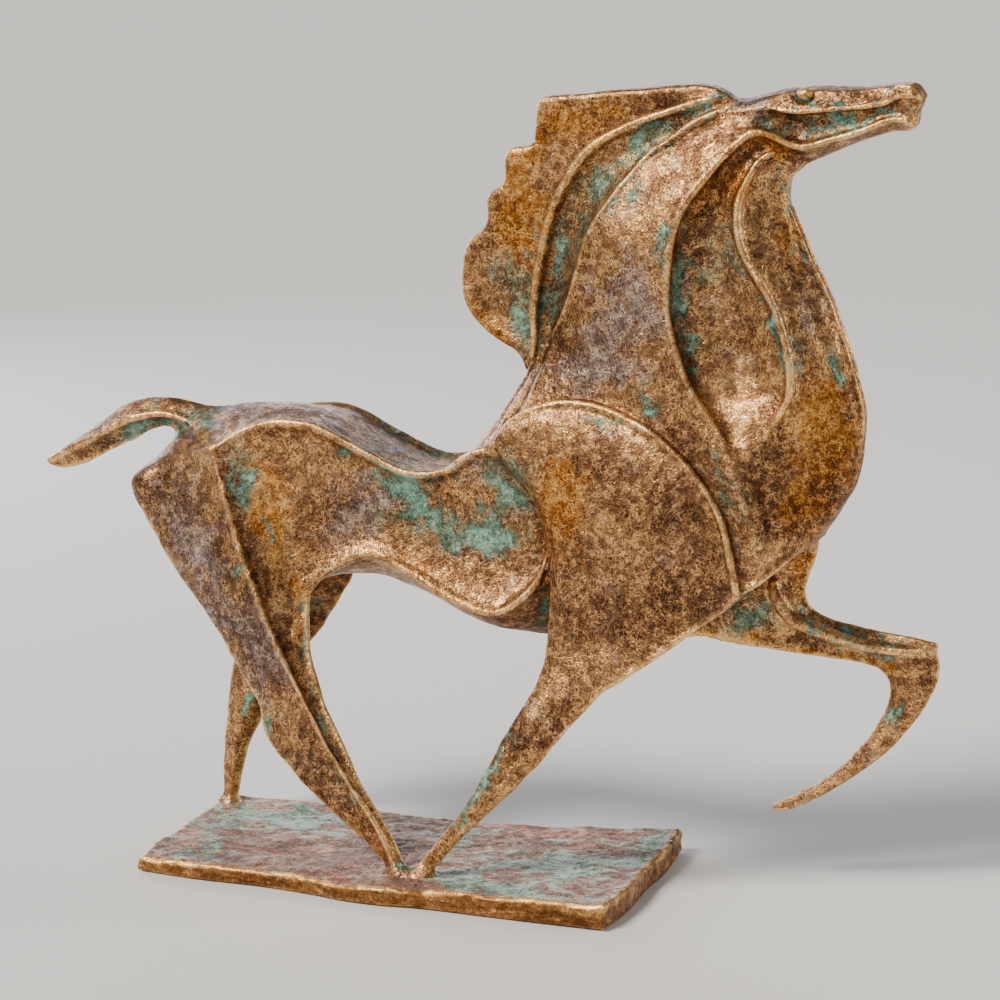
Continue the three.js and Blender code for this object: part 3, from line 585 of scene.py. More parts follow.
def rail_curve(points, t):
    """A smooth curve through the points, and its tangent, at each t from 0 to 1: cubic
    between each two points, and at each point parallel to the line that joins its
    neighbours."""
    p = np.asarray(points, float)
    p = np.vstack([2 * p[0] - p[1], p, 2 * p[-1] - p[-2]])
    place = t * (len(p) - 3)
    i = np.minimum(place.astype(int), len(p) - 4)
    w = (place - i)[:, None]
    a, b, c, d = p[i], p[i + 1], p[i + 2], p[i + 3]
    linear = (c - a) / 2
    square = a - 2.5 * b + 2 * c - d / 2
    cube = (d - a) / 2 + 1.5 * (b - c)
    return b + w * (linear + w * (square + w * cube)), linear + w * (2 * square + 3 * w * cube)


def along(values, t):
    """A value given once, or once for each station, at each t from 0 to 1."""
    values = np.atleast_1d(np.asarray(values, float))
    return np.interp(t, np.linspace(0, 1, len(values)), values)


def mirrored(rail):
    """A line on the other side of the middle plane: its y turned round."""
    return [(x, -y, z) for x, y, z in rail]


def on_side(rail, side):
    """A near-side line as it is for side -1, and mirrored for side 1."""
    return rail if side < 0 else mirrored(rail)


def ring_mesh(rings, start=None, end=None):
    """Skins rings of points (station, point, 3) and closes both ends with a fan."""
    stations, count = rings.shape[:2]
    start = rings[0].mean(0) if start is None else np.asarray(start, float)
    end = rings[-1].mean(0) if end is None else np.asarray(end, float)
    points = np.vstack([rings.reshape(-1, 3), start, end])
    k, i = np.meshgrid(np.arange(stations - 1), np.arange(count), indexing="ij")
    a = (k * count + i).ravel()
    b = (k * count + (i + 1) % count).ravel()
    sides = np.vstack([np.stack([a, b, b + count], -1), np.stack([a, b + count, a + count], -1)])
    i = np.arange(count)
    after = (i + 1) % count
    last = (stations - 1) * count
    first_cap = np.stack([np.full(count, len(points) - 2), after, i], -1)
    last_cap = np.stack([np.full(count, len(points) - 1), last + i, last + after], -1)
    faces = np.vstack([sides, first_cap, last_cap])
    corner = points[faces]
    volume = np.einsum("ij,ij->", corner[:, 0], np.cross(corner[:, 1], corner[:, 2]))
    return points, faces if volume > 0 else faces[:, ::-1]


def loft(rails, swell=(), crown=(), start=None, end=None, steps=10, cuts=10):
    """A closed form carried along its feature lines. Each section joins the lines by
    strips, and a strip rises from its chord by swell times 1 - |2s - 1| ** crown."""
    count = len(rails)
    t = np.linspace(0, 1, (len(rails[0]) - 1) * steps + 1)
    curves = [rail_curve(rail, t) for rail in rails]
    corners = np.stack([place for place, _ in curves], 1)
    ways = np.stack([way for _, way in curves], 1)
    spokes = corners - corners.mean(1, keepdims=True)
    area = np.cross(spokes, np.roll(spokes, -1, 1)).sum(1)
    turn = np.sign(np.einsum("ij,ij->i", area, ways.mean(1)))
    s = np.arange(cuts) / cuts
    strips = []
    for i in range(count):
        after = (i + 1) % count
        chord = corners[:, after] - corners[:, i]
        out = np.cross(chord, ways[:, i] + ways[:, after])
        out *= (turn / np.maximum(np.linalg.norm(out, axis=1), TINY))[:, None]
        height = along(swell[i] if i < len(swell) else 0, t)
        power = crown[i] if i < len(crown) else 2
        rise = height[:, None] * (1 - np.abs(2 * s - 1) ** power)
        strips.append(
            corners[:, i, None] + chord[:, None] * s[:, None] + out[:, None] * rise[..., None])
    return ring_mesh(np.concatenate(strips, 1), start, end)


def both_sides(rails, swell=(), **rest):
    """A loft whose far side is the near side's mirror image."""
    strips = len(rails) - 1
    half = [swell[i] if i < len(swell) else 0 for i in range(strips)]
    whole = [*rails, *(mirrored(rail) for rail in reversed(rails[1:-1]))]
    return loft(whole, swell=[*half, *reversed(half)], **rest)


def bead(rail, radius, sides=10, steps=8):
    """A round bead along a line: circles of the given radius square to its path."""
    t = np.linspace(0, 1, (len(rail) - 1) * steps + 1)
    place, way = rail_curve(rail, t)
    way /= np.linalg.norm(way, axis=1, keepdims=True)
    side = np.cross(way, np.array([0.0, 1.0, 0.0]))
    side /= np.linalg.norm(side, axis=1, keepdims=True)
    over = np.cross(way, side)
    angle = np.linspace(0, 2 * np.pi, sides, endpoint=False)
    r = along(radius, t)[:, None, None]
    circle = np.cos(angle)[:, None] * side[:, None] + np.sin(angle)[:, None] * over[:, None]
    return ring_mesh(place[:, None] + r * circle)


def ellipsoid(centre, radii, side=1, rings=12, sides=16, pole=0.15):
    """A closed ball stretched to three radii, its middle's y times side. Its rings leave
    out the poles by an angle, which the fans at its ends cover."""
    theta = np.linspace(pole, np.pi - pole, rings)[:, None]
    phi = np.linspace(0, 2 * np.pi, sides, endpoint=False)[None, :]
    unit = np.stack([np.sin(theta) * np.cos(phi), np.sin(theta) * np.sin(phi),
                     np.cos(theta) * np.ones_like(phi)], -1)
    middle = np.multiply(centre, (1.0, side, 1.0))
    return ring_mesh(middle + unit * np.asarray(radii, float))


def smooth_min(a, b, blend):
    """The lower of two distances, with the corner between them filled by blend."""
    near = np.maximum(blend - np.abs(a - b), 0) / blend
    return np.minimum(a, b) - near * near * blend / 4


class Clay:
    """A block of voxels holding the distance to the surface in mm, below zero inside."""

    def __init__(self, low, high, voxel, reach):
        """An empty block round a box, all in mm. Reach is the farthest distance held."""
        self.voxel = voxel
        self.reach = reach
        self.origin = np.floor((low - reach) / voxel).astype(int)
        self.shape = np.ceil((high + reach) / voxel).astype(int) - self.origin
        self.distance = np.full(self.shape, reach, np.float32)

    def window(self, low, high):
        """The voxels within reach of a box: first and last, and the block's slices."""
        first = np.maximum(np.floor((low - self.reach) / self.voxel).astype(int), self.origin)
        last = np.minimum(
            np.ceil((high + self.reach) / self.voxel).astype(int), self.origin + self.shape)
        return first, last, tuple(
            slice(a, b) for a, b in zip(first - self.origin, last - self.origin))

    def measured(self, form):
        """The distance to a closed form's surface, and the window that it fills."""
        points, faces = form
        points = tipped(points)
        first, last, place = self.window(points.min(0), points.max(0))
        grid = openvdb.FloatGrid.createLevelSetFromPolygons(
            points.astype(np.float32), triangles=faces.astype(np.uint32),
            transform=openvdb.createLinearTransform(voxelSize=self.voxel),
            halfWidth=self.reach / self.voxel)
        field = np.empty(last - first, np.float32)
        grid.copyToArray(field, ijk=tuple(int(v) for v in first))
        return field, place

    def add(self, form, blend):
        """Joins a form to the clay: the lower of the two distances, blended."""
        field, place = self.measured(form)
        self.distance[place] = smooth_min(self.distance[place], field, blend)

    def cut(self, form, blend):
        """Takes a form out of the clay: the lower of the two distances outside both."""
        field, place = self.measured(form)
        self.distance[place] = -smooth_min(-self.distance[place], field, blend)

    def soften(self, grow):
        """Rounds sharp edges: neighbours weigh 1, 2, 1 along each axis. Growing by a
        fraction of a millimetre gives back what thin edges lose."""
        for axis in range(3):
            field = np.moveaxis(self.distance, axis, 0)
            mean = 0.25 * (field[:-2] + field[2:])
            mean += 0.5 * field[1:-1]
            field[1:-1] = mean
        self.distance -= grow

    def grid_points(self, place):
        """The x, y and z of a window's voxels in mm, each as an array along its axis."""
        axes = [
            (self.origin[i] + np.arange(place[i].start, place[i].stop)) * self.voxel
            for i in range(3)]
        return np.meshgrid(*axes, indexing="ij", sparse=True)

    def surface(self):
        """The surface at distance zero, as points in mm and four-sided faces."""
        depth = 3 * self.voxel
        grid = openvdb.FloatGrid(depth)
        grid.copyFromArray(
            np.clip(self.distance, -depth, depth), ijk=tuple(int(v) for v in self.origin))
        grid.transform = openvdb.createLinearTransform(voxelSize=self.voxel)
        return grid.convertToQuads(0.0)


def mane_outline(steps=12):
    """The fin's outline, its runs joined end to end. A run is a point or a curve, drawn
    by mixing the neighbours among its control points until one point is left."""
    points = [np.array(MANE_START, float)]
    for run in MANE_PATH:
        control = np.array([points[-1], *run], float)
        w = np.linspace(0, 1, steps + 1 if len(run) > 1 else 2)[1:, None]
        for _ in range(len(run)):
            control = control if control.ndim == 3 else np.repeat(control[None], len(w), 0)
            control = control[:, :-1] + w[:, None] * (control[:, 1:] - control[:, :-1])
        points.extend(control[:, 0])
    return np.array(points)


def polygon_distance(x, z, outline):
    """Distance to a closed outline, below zero inside, by its nearest segment."""
    nearest = np.full(np.broadcast(x, z).shape, np.inf)
    inside = np.zeros(nearest.shape, bool)
    for (ax, az), (bx, bz) in zip(outline, np.roll(outline, -1, 0)):
        ex, ez = bx - ax, bz - az
        part = np.clip(((x - ax) * ex + (z - az) * ez) / (ex * ex + ez * ez + TINY), 0, 1)
        nearest = np.minimum(nearest, np.hypot(x - ax - part * ex, z - az - part * ez))
        crosses = ((az > z) != (bz > z)) & (x < ax + (z - az) / (ez + TINIER) * ex)
        inside ^= crosses
    return np.where(inside, -nearest, nearest)


def add_mane(clay):
    """The mane: an upright fin, thinner inside a rim that follows its rounded edge."""
    outline = mane_outline()
    flat = np.stack([outline[:, 0], np.zeros(len(outline)), outline[:, 1]], -1)
    outline = tipped(flat)[:, [0, 2]]
    low = np.array([outline[:, 0].min(), -MANE_HALF_THICK, outline[:, 1].min()])
    high = np.array([outline[:, 0].max(), MANE_HALF_THICK, outline[:, 1].max()])
    _, _, place = clay.window(low, high)
    x, y, z = clay.grid_points(place)
    in_plane = polygon_distance(x[:, 0, :], z[:, 0, :], outline)[:, None, :]
    hollow = MANE_HOLLOW * smoothstep(MANE_RIM, 3 * MANE_RIM, -in_plane)
    in_plane = in_plane + MANE_EDGE_ROUND
    across = np.abs(y) - MANE_HALF_THICK + hollow + MANE_EDGE_ROUND
    field = (np.hypot(np.maximum(in_plane, 0), np.maximum(across, 0))
             + np.minimum(np.maximum(in_plane, across), 0) - MANE_EDGE_ROUND)
    joined = smooth_min(clay.distance[place], field.astype(np.float32), MANE_BLEND)
    clay.distance[place] = joined


def stretched_noise(shape, cell, rng):
    """Smooth noise on a grid: random values every cell voxels, joined by smooth steps."""
    coarse = [int(math.ceil(n / cell)) + 2 for n in shape]
    field = rng.uniform(-1, 1, coarse).astype(np.float32)
    for axis, n in enumerate(shape):
        place = np.arange(n) / cell
        i = place.astype(int)
        w = (place - i).astype(np.float32)
        w = w * w * (3 - 2 * w)
        w = w.reshape([-1 if k == axis else 1 for k in range(3)])
        field = np.take(field, i, axis) * (1 - w) + np.take(field, i + 1, axis) * w
    return field


def blurred(field, radius, passes=2):
    """A field blurred by running means over 2 * radius + 1 voxels, along each axis."""
    for _ in range(passes):
        for axis in range(3):
            padded = np.concatenate([
                np.repeat(field.take([0], axis), radius + 1, axis), field,
                np.repeat(field.take([-1], axis), radius, axis)], axis)
            total = np.cumsum(padded, axis, dtype=np.float64)
            width = 2 * radius + 1
            n = field.shape[axis]
            upper = total.take(np.arange(width, width + n), axis)
            lower = total.take(np.arange(0, n), axis)
            field = ((upper - lower) / width).astype(np.float32)
    return field


def sampled(field, place):
    """A field's values at places given in voxels, mixed from the eight round each."""
    i = np.clip(np.floor(place).astype(int), 0, np.array(field.shape) - 2)
    w = place - i
    result = np.zeros(len(place))
    for corner in np.ndindex(2, 2, 2):
        share = np.prod(np.where(corner, w, 1 - w), axis=1)
        result += share * field[tuple((i + corner).T)]
    return result


def standing_proud(clay, points, radius):
    """How far the surface stands out of its surroundings, in mm: the distance field's
    mean round each point less its own value. Above zero on ridges, below in hollows."""
    step = 2 if radius > 3 * clay.voxel else 1
    field = clay.distance[::step, ::step, ::step]
    place = (points / clay.voxel - clay.origin) / step
    reach = max(1, int(round(radius / clay.voxel / step)))
    return sampled(blurred(field, reach) - field, place)


def ripple(points, length, rng, count=10):
    """Smooth waves in mm: sines of one wavelength in random directions, added up."""
    total = np.zeros(len(points))
    for _ in range(count):
        way = rng.normal(size=3)
        way *= 2 * np.pi / length / np.linalg.norm(way)
        total += np.sin(points @ way + rng.uniform(0, 2 * np.pi))
    return total * math.sqrt(2 / count)


def smoothstep(low, high, value):
    """Rises from 0 at low to 1 at high, level at both ends: 3 w squared less 2 w cubed."""
    w = np.clip((value - low) / (high - low), 0, 1)
    return w * w * (3 - 2 * w)


def stepped(heights, steps):
    """Adds up smooth steps: each height's share, from 0 at its low to all at its high."""
    return sum(share * smoothstep(low, high, height)
               for height, (share, low, high) in zip(heights, steps))


# Patina on the near side, with painted sheen, painted shade and painted highlights among
# it. Each patch is an oval in the 1000 pixel picture: its middle, its two half widths, its
# lean to the right in degrees, and how thick it is at most.
VERDIGRIS = {
    "tail hollow": (148, 431, 44, 8, -20, 0.9), "tail top": (150, 409, 22, 4, -15, 0.5),
    "tail root": (208, 416, 18, 6, 0, 0.8), "haunch": (245, 480, 7, 17, 0, 0.9),
    "haunch line": (235, 478, 3, 30, -12, 0.6), "haunch streak": (262, 521, 3, 13, -5, 0.9),
    "flank left": (412, 495, 30, 20, 35, 1.2), "flank middle": (440, 525, 30, 18, 45, 1.2),
    "flank right": (500, 490, 26, 38, -8, 0.84), "flank low": (474, 536, 40, 19, 5, 1.15),
    "flank drip": (452, 492, 17, 42, -6, -1.1),
    "back ridge left": (352, 448, 20, 4, 32, 0.8), "back ridge right": (380, 466, 20, 4, 30, 0.9),
    "back ridge end": (428, 476, 26, 3, 0, 0.6), "behind shoulder": (541, 612, 5, 24, 0, 0.7),
    "channel wash": (574, 240, 13, 62, 18, 0.55), "channel wash high": (648, 146, 44, 13, -38, 0.6),
    "channel foot": (546, 305, 7, 38, 8, 0.8), "channel low": (559, 255, 9, 34, 10, 0.75),
    "channel middle": (600, 180, 13, 30, 40, 0.75), "channel high": (650, 134, 34, 8, -35, 0.85),
    "channel top": (705, 106, 28, 5, -20, 0.9), "mane foot": (520, 315, 12, 40, -12, 0.75),
    "mane side": (503, 275, 16, 28, 0, 0.55), "mane rib": (537, 245, 3, 20, 5, 0.7),
    "mane notch": (541, 150, 3, 8, 0, 0.6), "field top": (632, 184, 4, 26, 42, 0.9),
    "field spot": (660, 241, 6, 9, -30, 0.9), "bowl left": (679, 290, 5, 44, 0, 0.85),
    "bowl low": (691, 352, 5, 36, -18, 0.85), "bowl pool": (705, 262, 16, 26, 0, 0.5),
    "bowl edge": (715, 228, 24, 10, -20, 0.4), "cord left": (768, 315, 5, 38, -25, 0.85),
    "cord foot": (783, 350, 6, 24, -8, 0.8), "cord top": (735, 265, 14, 26, -20, 0.5),
    "shoulder spot": (648, 399, 12, 5, 25, 0.9), "under arch": (602, 421, 24, 5, 12, 0.75),
    "band streak": (722, 470, 5, 34, -25, 0.5), "band low": (740, 512, 4, 28, -20, 0.5),
    "chest sliver": (843, 369, 4, 18, -10, 1.0), "throat": (782, 200, 3, 28, -3, 0.8),
    "throat low": (803, 262, 3, 16, -22, 0.8), "throat line": (795, 350, 4, 22, -15, 0.5),
    "head recess": (848, 119, 52, 3, -4, 0.95), "head recess left": (790, 121, 18, 3, 0, 0.8),
    "jaw side": (824, 133, 22, 2.5, -5, 1.0), "poll": (764, 128, 22, 5, 5, 0.6),
    "under eye": (806, 102, 11, 3.5, 0, 1.0), "nose": (896, 91, 8, 5, -30, 0.7),
    "near fore": (489, 776, 4, 26, 33, 1.0), "near fore low": (466, 808, 4, 18, 30, 0.95),
    "near fore high": (512, 742, 6, 16, 20, 0.5), "near hind": (322, 722, 4, 50, -22, 0.65),
    "near hind low": (350, 790, 3, 30, -28, 0.6), "hock": (262, 732, 3, 18, -15, 0.9),
    "groin": (305, 640, 3, 40, 0, 0.7), "groin top": (338, 570, 24, 3, -40, 0.6),
    "rear ridge": (238, 566, 3, 10, -20, 0.7), "feet": (400, 862, 10, 8, 0, 0.7),
}
FAR_VERDIGRIS = {
    "forearm": (745, 614, 28, 16, 10, 0.8), "forearm end": (875, 657, 26, 3, 4, 0.8),
    "forearm top": (826, 620, 32, 4, 20, 0.9), "forearm upper": (880, 638, 30, 3, 8, 0.9),
    "forearm under": (822, 645, 34, 3, 24, 0.8), "cannon": (897, 716, 5, 7, 0, 1.0),
    "cannon low": (862, 770, 18, 3, -40, 0.5), "far hind": (248, 700, 5, 7, 0, 1.0),
    "far hind inside": (325, 600, 12, 22, 35, 0.5), "far foot": (231, 800, 10, 6, 0, 0.7),
}
SLAB_VERDIGRIS = {
    "back left": (300, 817, 46, 7, 3, 0.75), "left": (212, 850, 36, 8, 0, 0.75),
    "left high": (220, 829, 34, 7, -8, 0.55),
    "between": (470, 845, 40, 18, 5, 0.5), "near fore": (470, 885, 50, 10, 3, 0.8),
    "middle right": (560, 862, 70, 16, 3, 0.6), "right": (640, 850, 40, 12, 0, 0.6),
    "far foot": (240, 815, 26, 6, 5, 0.7), "front right": (540, 895, 70, 6, 3, 0.4),
}
RUST = {
    "chest": (826, 430, 32, 62, -10, 0.95), "chest low": (808, 505, 30, 32, 10, 0.8),
    "shoulder": (562, 500, 26, 46, 0, 0.9), "haunch": (268, 520, 17, 60, -5, 1.0),
    "mane edge": (523, 160, 16, 42, 20, 1.0), "mane top": (562, 128, 30, 14, 0, 0.8),
    "bowl top": (735, 190, 20, 34, 25, 0.7), "throat": (790, 240, 16, 60, -15, 0.6),
    "haunch foot": (300, 590, 16, 40, -10, 0.7), "channel": (580, 215, 10, 28, 15, 1.0),
    "channel foot": (577, 245, 7, 20, 5, 0.8), "mane low": (486, 325, 14, 26, -25, 0.9),
    "mane middle": (524, 220, 28, 56, 0, 0.9), "tail": (180, 412, 26, 8, 10, 0.5),
    "mane body": (590, 125, 50, 28, -10, 0.6), "eye": (805, 94, 11, 7, 0, 0.9),
    "under jaw": (772, 149, 26, 9, 8, 1.0), "bowl wall": (708, 190, 7, 34, 38, 0.9),
    "chest band": (790, 440, 12, 60, -5, 0.5),
    "hind front": (345, 690, 16, 60, -20, 0.5), "flank": (410, 570, 50, 20, 20, 0.5),
    "foreleg": (500, 700, 22, 40, 20, 0.5), "neck spot": (612, 290, 26, 40, 0, 0.3),
    "bowl middle": (720, 300, 30, 50, 0, 0.35), "drip": (455, 500, 15, 34, 8, 0.35),
}
# Painted sheen: ovals where grey to silver tones stand in for the reflection of the sky and the
# back light on the rump, the loin, the withers and the rear faces.
PAINTED_SHEEN = {
    "rump": (225, 420, 70, 12, -8, 0.5), "rear haunch": (190, 560, 34, 90, -15, 0.7),
    "neck": (622, 300, 30, 56, 10, 0.9), "withers": (600, 372, 50, 16, 5, 0.7),
    "loin": (370, 425, 80, 18, 20, 0.85), "poll": (752, 103, 16, 9, 0, 0.8),
    "flank": (365, 505, 30, 26, 0, 0.8), "bowl": (732, 310, 24, 40, 0, 0.45),
    "throat": (815, 320, 16, 40, -15, 0.5), "rear leg": (250, 640, 18, 70, -20, 0.6),
}
# Dark umber patina and painted shade: ovals that darken the tone, most of them where shade falls,
# under the chest, the jaw and the shoulder and in the top of the bowl.
UMBER_AND_SHADE = {
    "chest low": (804, 512, 34, 34, 20, 1.7), "bowl top": (725, 178, 26, 26, 20, 0.9),
    "foreleg": (505, 730, 26, 60, 20, 1.0), "shoulder low": (600, 620, 60, 30, 0, 0.9),
    "head": (840, 101, 50, 5, -3, 1.9), "under jaw": (772, 142, 26, 5, 12, 0.8),
    "shoulder right": (690, 540, 40, 60, -10, 0.6), "rear leg": (262, 640, 26, 60, -20, 1.0),
    "drip": (452, 495, 15, 32, 8, 0.9), "mane": (600, 105, 60, 10, -5, 0.5),
    "hind low": (310, 780, 30, 40, -25, 0.8), "flank": (352, 512, 28, 24, 0, 0.7),
    "field foot": (575, 320, 14, 30, 10, 0.9), "throat": (805, 300, 14, 40, -15, 0.7),
    "shoulder": (640, 470, 34, 40, 0, 0.5), "haunch": (232, 510, 6, 60, -12, 0.7),
    "above chest edge": (785, 558, 40, 4, -35, 1.0),
}
# Painted highlights: ovals that lighten the tone where light falls on up-facing parts, such as the
# bowl's foot, the lower flank and the shoulder's arch.
PAINTED_HIGHLIGHT = {
    "bowl foot": (744, 393, 24, 36, 5, 1.3), "saddle": (735, 446, 16, 7, -20, 0.7),
    "flank low": (462, 592, 58, 12, 8, 0.8), "shoulder top": (575, 425, 46, 12, -5, 0.35),
    "arch band": (655, 452, 46, 7, 42, 1.0), "haunch front": (300, 470, 30, 18, 30, 0.3),
    "neck ridge": (676, 300, 5, 70, 0, 0.5), "bowl side": (718, 330, 20, 40, -10, 0.4),
    "fold": (738, 492, 5, 48, -24, 0.9), "haunch crease": (276, 610, 7, 64, -20, 0.6),
    "mane side": (590, 112, 70, 8, -6, 0.4),
}
FAR_RUST = {
    "forearm edge": (735, 643, 50, 4, 6, 1.2), "forearm low": (835, 658, 50, 4, 8, 1.1),
    "forearm high": (800, 565, 10, 30, -8, 0.8), "knee": (892, 682, 6, 16, 0, 0.8),
    "rope": (850, 640, 60, 6, 12, 0.5),
}
# Painted highlights along the rope of the raised far foreleg.
FAR_PAINTED_HIGHLIGHT = {
    "rope top": (780, 600, 7, 20, -25, 2.0), "rope": (808, 625, 24, 5, 32, 1.8),
    "rope middle": (850, 640, 28, 5, 16, 1.6), "rope end": (905, 652, 30, 4, 2, 1.3),
    "above rope": (845, 624, 52, 5, 14, 1.2), "edge": (735, 643, 50, 3, 6, 0.9),
}
# The patina's layers by name, the painted sheen, painted shade and painted highlights among them.
HORSE_PATINA = {
    "verdigris": (VERDIGRIS, FAR_VERDIGRIS), "rust": (RUST, FAR_RUST), "sheen": (PAINTED_SHEEN, {}),
    "umber_and_shade": (UMBER_AND_SHADE, {}), "painted_highlight": (PAINTED_HIGHLIGHT, FAR_PAINTED_HIGHLIGHT),
}


def patched(points, patches, rng):
    """How thick the patches are at points: each is at its most in an oval's middle,
    half of that at the oval's edge, and smooth waves bend its outline. A patch below
    zero, listed after those that it lies in, thins them."""
    bent = []
    for straight in pictured(points):
        for height, length in PATCH_WAVES:
            straight = straight + height * ripple(points, length, rng)
        bent.append(straight)
    px, py = bent
    cover = np.zeros(len(points))
    for x, y, half_width, half_height, lean, most in patches.values():
        cos_lean, sin_lean = math.cos(math.radians(lean)), math.sin(math.radians(lean))
        u = ((px - x) * cos_lean + (py - y) * sin_lean) / (half_width + PATCH_MARGIN)
        v = ((py - y) * cos_lean - (px - x) * sin_lean) / (half_height + PATCH_MARGIN)
        patch = most / (1 + (u * u + v * v) ** 1.5)
        cover = np.maximum(cover, patch) if most > 0 else np.maximum(cover + patch, 0)
    return cover


def patched_sides(points, patches, far_patches, rng):
    """The near side's patches on both sides, and on the far side its own as well."""
    near = points.copy()
    near[:, 1] = -np.abs(near[:, 1])
    cover = patched(near, patches, rng)
    if far_patches:
        far_cover = patched(points, far_patches, rng)
        cover = np.where(points[:, 1] > 0, np.maximum(cover, far_cover), cover)
    return cover


def set_attribute(mesh, name, values):
    """Stores a value for each point of the mesh, for its material to read by name."""
    attribute = mesh.attributes.new(name, "FLOAT", "POINT")
    attribute.data.foreach_set("value", np.asarray(values, np.float32))


def coordinates(mesh):
    """The places of a mesh's points in metres, one row each."""
    flat = np.empty(len(mesh.vertices) * 3, np.float32)
    mesh.vertices.foreach_get("co", flat)
    return flat.reshape(-1, 3).astype(float)


def linked(name, data):
    """A new object that shows the data, put into the scene."""
    thing = bpy.data.objects.new(name, data)
    bpy.context.scene.collection.objects.link(thing)
    return thing


def standing(place, right, up, back):
    """The matrix of an object at a place, its own axes turned to right, up and back."""
    turn = Matrix(np.column_stack([right, up, back]).tolist()).to_4x4()
    turn.translation = place
    return turn


def mesh_object(name, points, faces):
    """A new object at the origin from points in millimetres."""
    mesh = bpy.data.meshes.new(name)
    mesh.from_pydata((points * MM).tolist(), [], faces.tolist())
    mesh.update()
    return linked(name, mesh)


def thinned(piece, most):
    """Collapses a piece's faces to at most the given number of triangles."""
    triangles = sum(len(face.vertices) - 2 for face in piece.data.polygons)
    modifier = piece.modifiers.new("Thin", "DECIMATE")
    modifier.ratio = min(1.0, most / triangles)
    modifier.use_collapse_triangulate = True
    graph = bpy.context.evaluated_depsgraph_get()
    mesh = bpy.data.meshes.new_from_object(piece.evaluated_get(graph))
    piece.modifiers.clear()
    old = piece.data
    piece.data = mesh
    mesh.name = piece.name
    bpy.data.meshes.remove(old)
    piece.data.shade_smooth()


